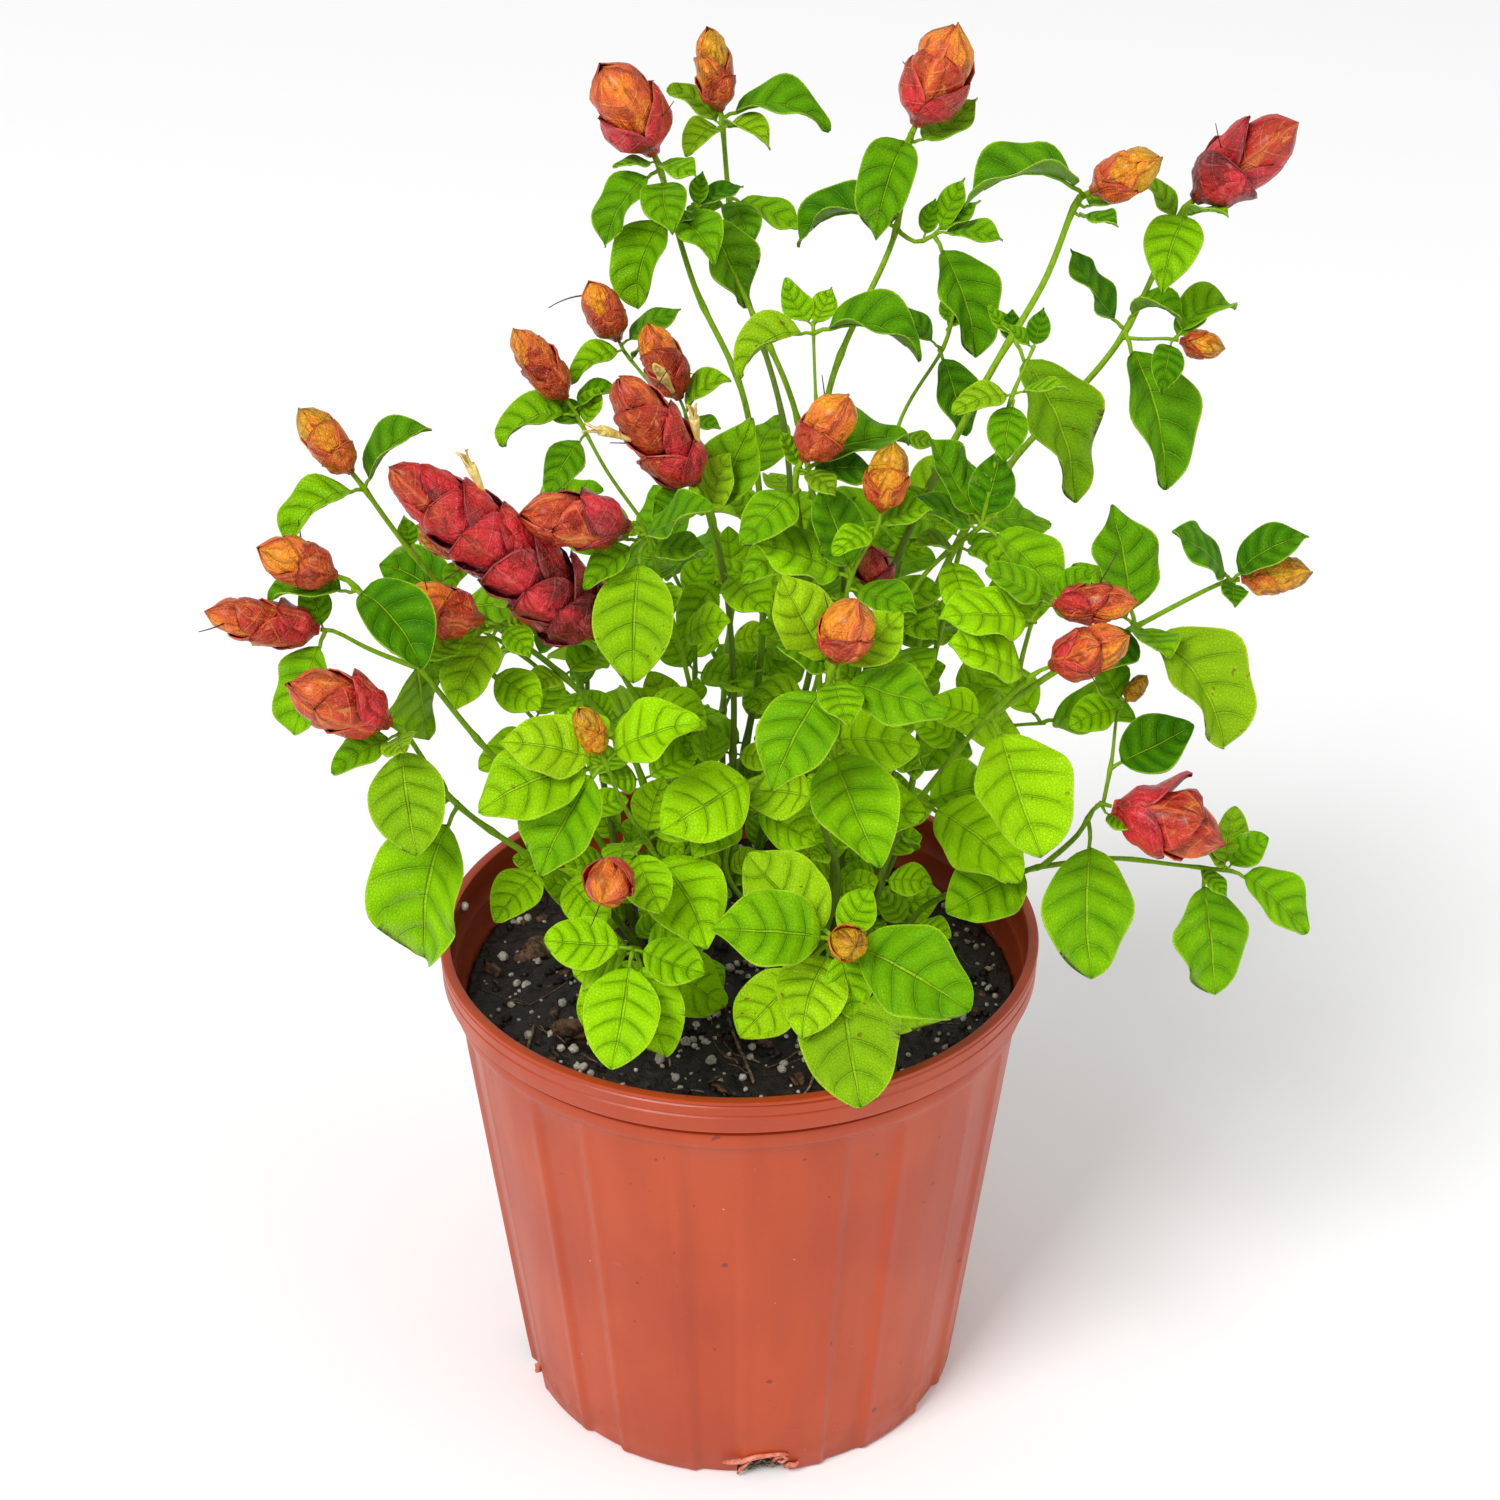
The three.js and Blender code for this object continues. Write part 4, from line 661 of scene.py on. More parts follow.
def addLeaf(bm, base, root, leaf, draws, routes, shade):
    # the blade is a grid whose rows sweep forward as its side veins do, with a quilted rise between them
    tone, jitter = bm.verts.layers.float["tone"], bm.verts.layers.float["jitter"]
    length, arch = leaf[3:]
    roll = rollToLight(base, leaf[1], leaf[2])
    hanging = 0.3 * clamp((-35 - leaf[2]) / 15)
    roundness = clamp(1 - (base.z - 200) / 300 + hanging + draws.uniform(-0.3, 0.3), 0.15)
    slimness = 1 - growth["slimPerHeight"] * max(0, base.z - growth["openFrom"])
    half = length * blade["halfWidth"] * slimness * draws.uniform(0.92, 1.04)
    swerve = length * blade["swerve"] * draws.uniform(-1, 1)
    fold = blade["fold"] + growth["foldPerArch"] * max(0, arch - growth["foldFreeArch"])
    fold += draws.uniform(-0.14, 0.16)
    swings = [draws.uniform(0.5, 1.3) * blade["wave"] * length for _ in range(2)]
    lean = [draws.uniform(-1, 1) * blade["curl"] for _ in range(2)]
    period = 0.48 if length >= 42 else 0.56 if length >= 31 else 0.76
    phase = draws.uniform(0.0, 0.12)
    seed = Vector((draws.uniform(0, 90), draws.uniform(0, 90), 0))
    spread = 1 - growth["petioleShare"]
    rows = blade["veins"] * (5 if length >= 36 else 4 if length >= 26 else 3)
    verts, faces = addGrid(bm, blade["across"], rows)
    chance = draws.random()
    for vert in verts:
        isLeft = vert.co.x > 0
        across = abs(vert.co.x) ** 1.2
        step = (vert.co.y + 1) / 2
        row = step * (0.6 + 0.4 * step)
        share = row + blade["sweep"] * math.sin(math.pi * row) * across ** 1.4 * (1 - 0.35 * row)
        place, side, normal = leafFrame(base, leaf, roll, growth["petioleShare"] + spread * share)
        reach = max(half * bladeWidth(share, roundness), 0.3)
        belly = abs(math.sin(math.pi * step * blade["veins"])) ** 0.7 - 0.6
        swell = math.sin(math.pi * across ** 0.8) * math.sin(math.pi * clamp(row, 0.04, 0.96))
        height = reach * fold * across ** 1.2
        height += belly * blade["quilt"] * length * 1.6 * swell
        height -= (blade["groove"] * length * max(0, 1 - across / blade["grooveHalf"])
                   * math.sin(math.pi * clamp(row, 0.1, 0.9)))
        wave = math.sin(2 * math.pi * (share - phase) / period)
        height += (swings[isLeft] * (1 if isLeft else -1) * wave * across ** 2.5
                   * min(1, 6 * row * (1.05 - row)))
        height += length * lean[isLeft] * across ** 2 * math.sin(math.pi * row)
        height += length * blade["ripple"] * noise.noise(seed + Vector((vert.co.x, row * 3, 0)) * 1.6)
        sideways = across * reach * (1 if isLeft else -1)
        vert.co = place + side * (swerve * math.sin(math.pi * clamp(share)) - sideways) + normal * height
        vert[tone], vert[jitter] = shade, chance
    thicken(bm, faces, blade["thickness"], 1)
    stalk = [(root, 1.05 * blade["petiole"])]
    for share, radius in stalkProfile:
        place, side, normal = leafFrame(base, leaf, roll, share)
        drop = 0 if share < 0.15 else blade["thickness"] * 0.6 + blade["groove"] * length
        thickness = radius * blade["petiole"] * clamp(length / 34, 0.55, 1.15)
        aside = swerve * math.sin(math.pi * clamp((share - growth["petioleShare"]) / spread))
        stalk.append((place + side * aside - normal * drop, thickness))
    routes.append(stalk)


def bladeShade(base, leaf, draws):
    # painted light: the low leaves inside the bush are painted the brightest, to lift the shade that falls on
    # them there
    middle, _ = alongArc(base, *leaf[1:], 0.6)
    inside = clamp((130 - middle.xy.length) / 40)
    low = clamp((370 - middle.z) / 70)
    return clamp(0.43 + 0.55 * low * inside + draws.uniform(-0.28, 0.22), 0.02, 1)


stems = {"spacing": 4, "taper": 0.4, "knotWidth": 1.4, "knotReach": 2.2, "internode": 27, "innerTop": 330,
         "innerReach": 80}


def stemRoute(lines, shares, root):
    # a stem with swollen knots where its leaves stand
    course, stem = lines["course"], lines["stem"]
    count = max(6, round(course.length / stems["spacing"]))
    route = []
    for step in range(count + 1):
        share = step / count
        if "from" in stem and share * course.length < 1.5 and step:
            continue
        point = course.at(share)
        radius = stem["radius"] * (1 - stems["taper"] * share)
        nearest = min([abs(share - knot) * course.length for knot in shares] or [99])
        radius *= 1 + (stems["knotWidth"] - 1) * math.exp(-(nearest / stems["knotReach"]) ** 2)
        if step == 0 and "from" in stem:
            point = root
        route.append((point, radius))
    if "from" not in stem:
        first = route[0][0]
        flare = stem["radius"] * 1.12
        route.insert(0, (first - Vector((0, 0, stems["spacing"])), flare))
        route.insert(0, (Vector((first.x, first.y, soilTop - growth["buried"])), flare))
    return route


def growPlant(index, plant, heads):
    name = f"leafy_stem_{index + 1:02d}"
    solid = solidOf(name)
    draws = random.Random(400 + index)
    bm = bmesh.new()
    bm.loops.layers.uv.new("UVMap")
    tone, jitter = bm.verts.layers.float.new("tone"), bm.verts.layers.float.new("jitter")
    grown, stemRoutes, stalkRoutes, leaves = [], [], [], []
    for stem in plant["stems"]:
        lines = stemLines(stem, grown)
        grown.append(lines)
        listed = stem["leaves"] if "leaves" in stem else pairedLeaves(*stem["pairs"])
        shares = sorted({leaf[0] for leaf in listed})
        for leaf in listed:
            base = alongKnots(lines["knots"], leaf[0])
            stance = settledLeaf(solid, base, leaf) if leaf[3] >= growth["leafShortest"] else leaf
            leaves.append((base, lines["course"].at(leaf[0]), stance))
        shares += innerKnots(lines, shares, leaves, draws)
        root = None
        if "from" in stem:
            parent, share = stem["from"]
            root = grown[parent]["course"].at(share)
        stemRoutes.append(stemRoute(lines, shares, root))
        if "head" in stem:
            heads.append({"head": stem["head"], "tip": lines["knots"][-1]})
    for base, root, leaf in leaves:
        addLeaf(bm, base, root, leaf, draws, stalkRoutes, bladeShade(base, leaf, draws))
    for vert in addTubes(bm, stalkRoutes, 6, 2):
        vert[tone] = 0.9
        vert[jitter] = 0.4
    for vert in addTubes(bm, stemRoutes, 8, 2):
        vert[tone] = clamp((vert.co.z - soilTop) / 200)
        vert[jitter] = 0.1 + 0.8 * draws.random() ** 0.01 * (index % 5) / 4
    newPiece(f"foliage_{index + 1:02d}", bm, [leafGreen, leafBack, stemGreen], [name])
    return len(leaves)


def innerKnots(lines, shares, leaves, draws):
    # small leaf pairs on the bare lower knots, which fill the middle of the bush
    course = lines["course"]
    count = int(course.length / stems["internode"])
    added = []
    for knot in range(1, count):
        share = knot / count
        base = course.at(share)
        isInside = base.z < stems["innerTop"] and math.hypot(base.x, base.y - 20) < stems["innerReach"]
        if any(abs(share - other) < 0.09 for other in shares):
            continue
        added.append(share)
        if not isInside or base.z < soilTop + 14:
            continue
        azimuth = draws.uniform(0, 180)
        for turn in (0, 180):
            length = draws.uniform(11, 24)
            leaf = [share, azimuth + turn, draws.uniform(-15, 40), length, draws.uniform(10, 60)]
            leaves.append((base, base, leaf))
    return added


# ---- finishes ----
# dark, middle and bright are picked by the tone, which carries the painted light of bladeShade
leafLook = {"dark": srgb(30, 98, 0), "middle": srgb(100, 160, 0), "bright": srgb(154, 212, 0),
            "vein": srgb(180, 222, 50), "crease": srgb(46, 112, 0), "speck": srgb(120, 84, 30),
            "roughness": 0.46, "gloss": 0.07}


def leafFinish(name, look, paleness, veinDepth):
    finish = Finish(name, {"Roughness": look["roughness"], "Specular IOR Level": look["gloss"]})
    across, along = finish.onSurface()
    where = finish.onObject()
    aside = abs(across * 2 - 1)
    between = 1 - abs((along * blade["veins"]).part() * 2 - 1)  # 0 on a side vein, 1 half way to the next
    sideVein = between.ramp(0.11, 0.02) * aside.ramp(1, 0.7, 0.1, 1)
    midrib = aside.ramp(0.07, 0.025)
    # painted shade: the creases along the side veins are darkened toward the crease colour, as shadow falls
    # in them
    crease = between.ramp(0.5, 0.04) * aside.ramp(1.0, 0.45)
    net = finish.cells(where, 900).ramp(0.12, 0.0)
    mottle = finish.grain(where, 75, 3)
    # painted light: the tone brightens the shaded inner leaves, and the between term paints the puffs between
    # side veins lighter and the veins darker, as light falls on the quilting; the mottle is the leaf's own
    # patchiness
    shade = finish.attribute("tone") + (mottle - 0.5) * 0.45 + (between - 0.5) * 0.14
    low = finish.mix(shade.ramp(0, 0.5), look["dark"], look["middle"])
    green = finish.mix(shade.ramp(0.4, 1), low, look["bright"])
    yellow = finish.attribute("jitter").ramp(0.7, 1, 0, 0.35) + aside.ramp(0.93, 1, 0, 0.25)
    green = finish.mix(yellow, green, srgb(176, 200, 30))
    # painted shade in the side-vein creases
    green = finish.mix(crease * 0.2, green, look["crease"])
    green = finish.mix(sideVein * 0.2 + midrib * 0.42 + net * 0.05 + aside.ramp(0.965, 0.995, 0, 0.4), green,
                       look["vein"])
    speck = finish.grain(where, 420, 0).ramp(0.8, 0.83) * finish.attribute("jitter").ramp(0.6, 0.9)
    green = finish.mix(speck * 0.7, green, look["speck"])
    if paleness:
        green = finish.mix(paleness, green, srgb(140, 172, 70))
    finish.feed(Base_Color=green)
    height = between * 0.5 * aside.ramp(1.02, 0.7) - sideVein * 0.35 - midrib * 0.6 - net * 0.12
    finish.bump(height * veinDepth + finish.grain(where, 500, 2) * 0.25, 0.0013)
    finish.feed(Roughness=finish.grain(where, 120, 2).ramp(0.3, 0.7, 0.38, 0.56))
    return finish


# crease is a painted shade for the pleat valleys, and pink a painted highlight
bractLook = {"young": srgb(214, 160, 6), "gold": srgb(246, 152, 14), "orange": srgb(224, 92, 34),
             "brick": srgb(180, 44, 20), "crimson": srgb(214, 32, 44), "maroon": srgb(108, 22, 24),
             "net": srgb(255, 186, 90), "rib": srgb(178, 70, 14), "pinkHighlight": srgb(240, 120, 116),
             "crease": srgb(122, 22, 6)}


def bractFinish(name, back=0):
    finish = Finish(name, {"Specular IOR Level": 0.3, "Coat Weight": 0.18, "Coat Roughness": 0.2})
    across, along = finish.onSurface()
    where = finish.onObject()
    aside = abs(across * 2 - 1)
    patches = finish.grain(where, 130, 3, 0.6)
    ripe = finish.attribute("tone") + (patches - 0.5) * 0.55 + (aside - 0.45) * 0.2 + back * 0.12
    red = finish.mix(ripe.ramp(0.02, 0.3), bractLook["young"], bractLook["gold"])
    red = finish.mix(ripe.ramp(0.2, 0.5), red, bractLook["orange"])
    red = finish.mix(ripe.ramp(0.42, 0.72), red, bractLook["brick"])
    red = finish.mix(ripe.ramp(0.7, 0.95), red, bractLook["crimson"])
    red = finish.mix(ripe.ramp(0.95, 1.2), red, bractLook["maroon"])
    net = finish.cells(finish.onObject((1, 1, 0.7)), 620).ramp(0.09, 0.01)
    rib = aside.ramp(0.08, 0.02)
    ribs = abs((along * 4 - aside * 1.1).part() * 2 - 1).ramp(0.84, 0.98)
    margin = aside.ramp(0.9, 0.98) * 0.8
    lines = (net * 0.7).most(rib * 0.8).most(ribs).most(margin)
    lineAndHighlightColour = finish.mix(ripe.ramp(0.2, 0.45), bractLook["rib"], bractLook["net"])
    # painted highlight: on ripe heads the line colour turns pink, so the lines and the pleat ridges carry
    # pink highlights
    lineAndHighlightColour = finish.mix(finish.attribute("tone").ramp(0.75, 0.95), lineAndHighlightColour, bractLook["pinkHighlight"])
    red = finish.mix(lines * 0.2, red, lineAndHighlightColour)
    lengthwise = finish.node("CombineXYZ", {}, {0: across * 6, 1: along * 2.2,
                                                2: finish.attribute("jitter") * 50})
    pleats = finish.grain(lengthwise, 1, 3, 0.5, 1)
    # painted shade: the pleat valleys, which follow the same pleats as the bump, are darkened toward the
    # crease colour
    red = finish.mix(pleats.ramp(0.48, 0.34, 0, 0.6), red, bractLook["crease"])
    # painted highlight: the pleat ridges are lightened toward the line colour
    red = finish.mix(pleats.ramp(0.56, 0.7, 0, 0.3), red, lineAndHighlightColour)
    finish.feed(Base_Color=red)
    wrinkle = finish.grain(where, 300, 4, 0.6, 0.8)
    finish.bump(pleats * 2.2 + wrinkle * 0.45 - lines * 0.15, 0.002)
    finish.feed(Roughness=pleats.ramp(0.3, 0.75, 0.24, 0.4))
    return finish


def stemFinish():
    finish = Finish("stemGreen", {"Specular IOR Level": 0.12})
    where = finish.onObject()
    young = finish.attribute("tone")
    streak = finish.grain(finish.onObject((1, 1, 0.16)), 900, 3)
    blotch = finish.grain(where, 42, 2)
    green = finish.mix(young, srgb(104, 146, 10), srgb(126, 166, 14))
    green = finish.mix(streak.ramp(0.45, 0.7, 0, 0.5), green, srgb(72, 112, 6))
    purple = blotch.ramp(0.5, 0.66) * finish.attribute("jitter").ramp(0.2, 0.9, 0.02, 0.06)
    green = finish.mix(purple, green, srgb(96, 52, 44))
    woody = young.ramp(0.08, 0.0) * 0.4
    finish.feed(Base_Color=finish.mix(woody, green, srgb(92, 80, 52)))
    finish.feed(Roughness=streak.ramp(0.2, 0.8, 0.4, 0.6))
    finish.bump(streak * 0.6 + finish.grain(where, 1600, 2) * 0.3, 0.0003)
    return finish


def corollaFinish():
    finish = Finish("corollaCream", {"Specular IOR Level": 0.3})
    where = finish.onObject()
    streak = finish.grain(finish.onObject((1, 1, 0.3)), 700, 3)
    cream = finish.mix(streak.ramp(0.35, 0.7), srgb(240, 220, 150), srgb(214, 178, 56))
    wilted = finish.grain(where, 160, 2).ramp(0.52, 0.7, 0, 0.6)
    cream = finish.mix(wilted, cream, srgb(196, 130, 60))
    finish.feed(Base_Color=cream, Roughness=streak.ramp(0.2, 0.8, 0.5, 0.75))
    finish.bump(streak, 0.0005)
    return finish


def potFinish():
    finish = Finish("terracottaPlastic", {"Specular IOR Level": 0.5})
    where = finish.onObject()
    upright = finish.onObject((1, 1, 0.12))
    cloud = finish.grain(where, 14, 3)
    flow = finish.grain(upright, 60, 3)
    fine = finish.grain(where, 700, 3, 0.6)
    clay = finish.mix(cloud.ramp(0.35, 0.65), srgb(166, 55, 8), srgb(178, 65, 14))
    clay = finish.mix(flow.ramp(0.4, 0.7, 0, 0.35), clay, srgb(156, 50, 8))
    clay = finish.mix(fine.ramp(0.55, 0.75, 0, 0.15), clay, srgb(194, 86, 40))
    height = finish.node("SeparateXYZ", {}, {0: Wire(finish, finish.places.outputs["Object"])})
    level = Wire(finish, height.socket.node.outputs[2])
    dust = level.ramp(0.035, 0.0) * finish.grain(where, 90, 4).ramp(0.4, 0.62)
    clay = finish.mix(dust * 0.35, clay, srgb(150, 84, 62))
    scratch = finish.grain(finish.onObject((1, 1, 7)), 60, 3, 0.55, 1.5).ramp(0.68, 0.72)
    rub = scratch * finish.grain(where, 22, 2).ramp(0.5, 0.62) * level.ramp(0.12, 0.18, 0.25, 1)
    clay = finish.mix(rub * 0.4, clay, srgb(226, 160, 136))
    chip = finish.grain(where, 210, 1).ramp(0.77, 0.785)
    clay = finish.mix(chip * 0.7, clay, srgb(112, 34, 18))
    nick = finish.cells(where, 120, "F1").ramp(0.055, 0.03) * finish.grain(where, 31, 1).ramp(0.55, 0.62)
    clay = finish.mix(nick * 0.7, clay, srgb(232, 170, 146))
    finish.feed(Base_Color=clay)
    finish.feed(Roughness=0.34 + flow.ramp(0.3, 0.7, 0, 0.1) + dust * 0.25 + rub * 0.15)
    finish.bump(flow * 0.4 + fine * 0.1 - chip * 0.6 + cloud * 0.5, 0.0007, 0.5)
    return finish


def soilFinish(name, dark, light, roughness=0.92, scale=260):
    finish = Finish(name, {"Specular IOR Level": 0.45})
    where = finish.onObject()
    crumb = finish.grain(where, scale, 4, 0.65)
    patch = finish.grain(where, scale / 6, 2)
    earth = finish.mix(crumb.ramp(0.35, 0.72), dark, light)
    earth = finish.mix(patch.ramp(0.45, 0.75, 0, 0.6), earth, dark)
    finish.feed(Base_Color=earth)
    finish.feed(Roughness=crumb.ramp(0.3, 0.8, roughness - 0.22, roughness))
    finish.bump(crumb, 0.0016)
    return finish


leafGreen = leafFinish("leafGreen", leafLook, 0, 1)
leafBack = leafFinish("leafBack", leafLook, 0.38, -1)
stemGreen = stemFinish()
bractSkin = bractFinish("bractSkin")
bractInside = bractFinish("bractInside", 1)
corollaCream = corollaFinish()
terracottaPlastic = potFinish()
soilBlack = soilFinish("soilBlack", srgb(9, 6, 5), srgb(54, 40, 34), 0.62)
barkBrown = soilFinish("barkBrown", srgb(58, 38, 26), srgb(140, 102, 70), 0.85, 420)
fibreBrown = soilFinish("fibreBrown", srgb(92, 68, 48), srgb(178, 150, 116), 0.85, 600)
perliteWhite = soilFinish("perliteWhite", srgb(176, 164, 146), srgb(238, 234, 224), 0.8, 500)
tornPlastic = soilFinish("tornPlastic", srgb(188, 84, 56), srgb(232, 160, 134), 0.6, 300)
driedStyle = soilFinish("driedStyle", srgb(58, 34, 30), srgb(112, 70, 56), 0.7, 800)


# ---- heads of bracts ----
bract = {"across": 10, "along": 11, "firstTip": 0.95, "nodeStep": 0.42, "reach": 1.4, "halfArc": 0.64,
         "thickness": 0.4, "wrinkle": 0.042, "core": 0.27, "gather": 0.32, "keel": 0.07, "lip": 0.035}
fitGap = 0.35
openHeads = {11: 0.36, 6: 0.16}  # heads whose lower bracts stand away like wings


def headFrame(tip, head, share):
    azimuth, pitch, length, _, _, bend = head
    base = tip + bearing(azimuth, pitch) * fitGap
    place, direction = alongArc(base, azimuth, pitch - bend / 2, length, bend, share)
    across = bearing(azimuth + 90, 0)
    return place, direction, across, direction.cross(across)


def fullness(share):
    # a long oval with a blunt end
    blunt = math.sqrt(1 - clamp((share - 0.62) / 0.39) ** 2)
    return max((0.92 + 0.45 * share - 0.7 * share * share) * blunt, 0.1)


def addBract(bm, head, tip, start, reach, turn, halfArc, closing, flare, shade, draws):
    # one bract hugs the head and overlaps those above it
    tone, jitter = bm.verts.layers.float["tone"], bm.verts.layers.float["jitter"]
    length, width = head[2], head[3]
    seed = Vector((draws.uniform(0, 90), draws.uniform(0, 90), draws.uniform(0, 90)))
    verts, faces = addGrid(bm, bract["across"], bract["along"])
    keel = bract["keel"] * draws.uniform(0.6, 1.6)
    skew = draws.uniform(-0.1, 0.1)
    chance = draws.random()
    for vert in verts:
        across, along = vert.co.x, (vert.co.y + 1) / 2
        axial = start + reach * along
        place, _, side, over = headFrame(tip, head, axial / length)
        body = width / 2 * fullness(axial / length) * (0.3 + 0.7 * ease(axial / (bract["gather"] * width)))
        radius = body * (0.68 + 0.32 * along) * (1 - closing * clamp((along - 0.72) / 0.28) ** 2)
        radius += width * flare * ease((along - 0.5) / 0.5)
        broad = 0.6 + 0.4 * ease(along / 0.4)
        rounded = math.sqrt(max(0.0, 1 - clamp((along - 0.45) / 0.55) ** 2.4))
        point = 1 - 0.12 * ease((along - 0.8) / 0.2)
        angle = clamp(halfArc * broad * rounded * point / max(radius, 0.2 * width), 0, 1.7)
        around = turn + across * angle + skew * along
        radius += body * keel * max(0, 1 - abs(across) * 2.2) * math.sin(math.pi * along)
        crease = noise.noise(seed + Vector((across * 1.5, along * 3, 0)))
        fine = noise.noise(seed + Vector((across * 3.6, along * 7, 5)))
        radius += width * bract["wrinkle"] * (crease + 0.6 * fine) * min(1, 3 * along)
        radius += body * bract["lip"] * ease((abs(across) - 0.7) / 0.3) * (along - 0.3)
        radius = max(radius, 0.15)
        vert.co = place + side * (radius * math.cos(around)) + over * (radius * math.sin(around))
        vert[tone], vert[jitter] = shade - 0.14 * along + 0.08 * abs(across), chance
    for face in faces:
        face.smooth = True
    bmesh.ops.reverse_faces(bm, faces=list(faces))
    thicken(bm, faces, -bract["thickness"], 1)


def makeHead(index, head, tip):
    draws = random.Random(900 + index)
    length, width, ripeness = head[2], head[3], head[4]
    bm = bmesh.new()
    bm.loops.layers.uv.new("UVMap")
    tone, jitter = bm.verts.layers.float.new("tone"), bm.verts.layers.float.new("jitter")
    rank = draws.uniform(0, 90)
    slender = clamp((length / width - 1.9) / 0.5) * clamp((length - 40) / 10)
    small = 1 - 0.42 * slender
    first = min(width * bract["firstTip"] * small, length * 0.6)
    step = width * bract["nodeStep"] * small
    count = max(2, round((length - first) / step) + 1)
    fade = 0.38 * (1 - 0.3 * ease((ripeness - 0.6) / 0.35))
    mature = 0.14 * clamp((length - 28) / 10) * (ripeness < 0.8)
    for node in range(count):
        along = node / (count - 1)
        tipAt = first + (length - first) * along
        start = max(0.0, tipAt - width * bract["reach"] * small * (1 - 0.2 * along))
        closing = 0.85 if node + 1 == count else 0.12
        shade = ripeness + mature + 0.22 - fade * along ** 1.3
        for pair in (0, 180):
            turn = radians(rank + node * 90 + pair + draws.uniform(-8, 8))
            loose = (1 - along) * clamp(ripeness)
            flare = draws.uniform(-0.02, 0.03) + 0.14 * loose * (1 - slender / 2) * draws.random() ** 2
            flare += openHeads.get(index, 0) * (1 - along) * (0.5 + 0.5 * math.sin(turn))
            halfArc = width * bract["halfArc"] * (1 - 0.32 * slender) * draws.uniform(0.9, 1.1)
            uneven = draws.uniform(0.92, 1) if node + 1 < count else 1 - 0.05 * (pair > 0)
            addBract(bm, head, tip, start, (tipAt - start) * uneven, turn, halfArc, closing, flare,
                     shade + draws.uniform(-0.08, 0.08), draws)
    core = []
    for step in range(9):
        share = step / 8
        place = headFrame(tip, head, share * 0.86)[0]
        ends = math.sin(math.pi * clamp(share * 0.9 + 0.06)) ** 0.5
        core.append((place, max(0.5, width * bract["core"] * fullness(share) * ends)))
    for vert in addTubes(bm, [core], 8, 1):
        vert[tone], vert[jitter] = ripeness + 0.1, 0.5
    newPiece(f"bracts_{index + 1:02d}", bm, [bractSkin, bractInside],
             [f"flower_head_{index + 1:02d}"])


# ---- tubular flowers ----
trumpet = {"steps": 11, "buried": 18, "tubeRadius": 0.8, "tubeFlare": 1.1, "sag": 0.15, "curl": 0.8,
           "lips": [[1, 1.6], [-1, 2.0]], "thickness": 0.25}


def makeCorolla(index, heads):
    name = f"corolla_{index + 1:02d}"
    solid = solidOf(name)
    owner, share, firstTurn, length = corollas[index]
    head, tip = heads[owner]["head"], heads[owner]["tip"]
    place, direction, across, over = headFrame(tip, head, share)

    def spine(turn, along):
        outward = across * math.cos(radians(turn)) + over * math.sin(radians(turn))
        line = (direction * 2 + outward).normalized()
        root = place + outward * (head[3] * 0.33 + 1.6)
        drop = Vector((0, 0, length * trumpet["sag"] * along * along))
        return root + line * (length * along) - drop, line, outward

    def misfit(turn):
        return sum(solid.find_nearest(spine(turn, along)[0] * mm)[3] for along in (0, 0.5, 1))

    turn = min(range(firstTurn, firstTurn + 360, 15), key=misfit)
    bm = bmesh.new()
    bm.loops.layers.uv.new("UVMap")
    tube = []
    for step in range(-2, 8):
        along = step / trumpet["steps"]
        spot, line, outward = spine(turn, max(along, 0))
        if along < 0:
            spot = spot + outward * (along * trumpet["buried"])
        tube.append((spot, trumpet["tubeRadius"] + trumpet["tubeFlare"] * ease(along / 0.6)))
    addTubes(bm, [tube], 8, 0)
    for lean, half in trumpet["lips"]:
        verts, faces = addGrid(bm, 4, 8)
        for vert in verts:
            wide, along = vert.co.x, (vert.co.y + 1) / 2
            spot, line, outward = spine(turn, 0.5 + 0.5 * along)
            side = line.cross(outward).normalized()
            rise = side.cross(line)
            reach = half * math.sin(math.pi * clamp(0.22 + 0.72 * along)) ** 0.7
            hollow = 1.2 * (1 - wide * wide) * (1 - 0.5 * along) + 1.4 * along ** 3
            curl = noise.noise(Vector((wide, along * 2.4, index * 7 + lean))) * trumpet["curl"]
            vert.co = spot + side * (wide * reach) + rise * (lean * hollow + curl)
        for face in faces:
            face.smooth = True
        if lean < 0:
            bmesh.ops.reverse_faces(bm, faces=list(faces))
        thicken(bm, faces, trumpet["thickness"], 0)
    newPiece(f"flower_{index + 1:02d}", bm, [corollaCream], [name])


driedTuft = {"ripeFrom": 0.5, "longHead": 45, "steps": 6, "radius": 0.3, "taper": 0.025}


def makeStyles(heads):
    # thin dried styles that stay after the flowers have dropped
    draws = random.Random(31)
    routes = []
    for owner in heads:
        head, tip = owner["head"], owner["tip"]
        if head[4] < driedTuft["ripeFrom"]:
            continue
        for _ in range(1 + (head[2] > driedTuft["longHead"]) * 2):
            share = draws.uniform(0.3, 0.85)
            place, direction, across, over = headFrame(tip, head, share)
            turn = draws.uniform(0, 2 * math.pi)
            outward = across * math.cos(turn) + over * math.sin(turn)
            root = place + outward * (head[3] * 0.3)
            lean = direction * draws.uniform(0.2, 0.9) + outward
            reach = draws.uniform(7, 13)
            sag = draws.uniform(-0.25, 0.3)
            route = []
            for step in range(driedTuft["steps"] + 1):
                share = step / driedTuft["steps"]
                spot = root + lean.normalized() * (reach * step / driedTuft["steps"])
                spot -= Vector((0, 0, reach * sag * share ** 2))
                route.append((spot, driedTuft["radius"] - driedTuft["taper"] * step))
            routes.append(route)
    bm = bmesh.new()
    addTubes(bm, routes, 6, 0)
    newPiece("driedStyles", bm, [driedStyle])


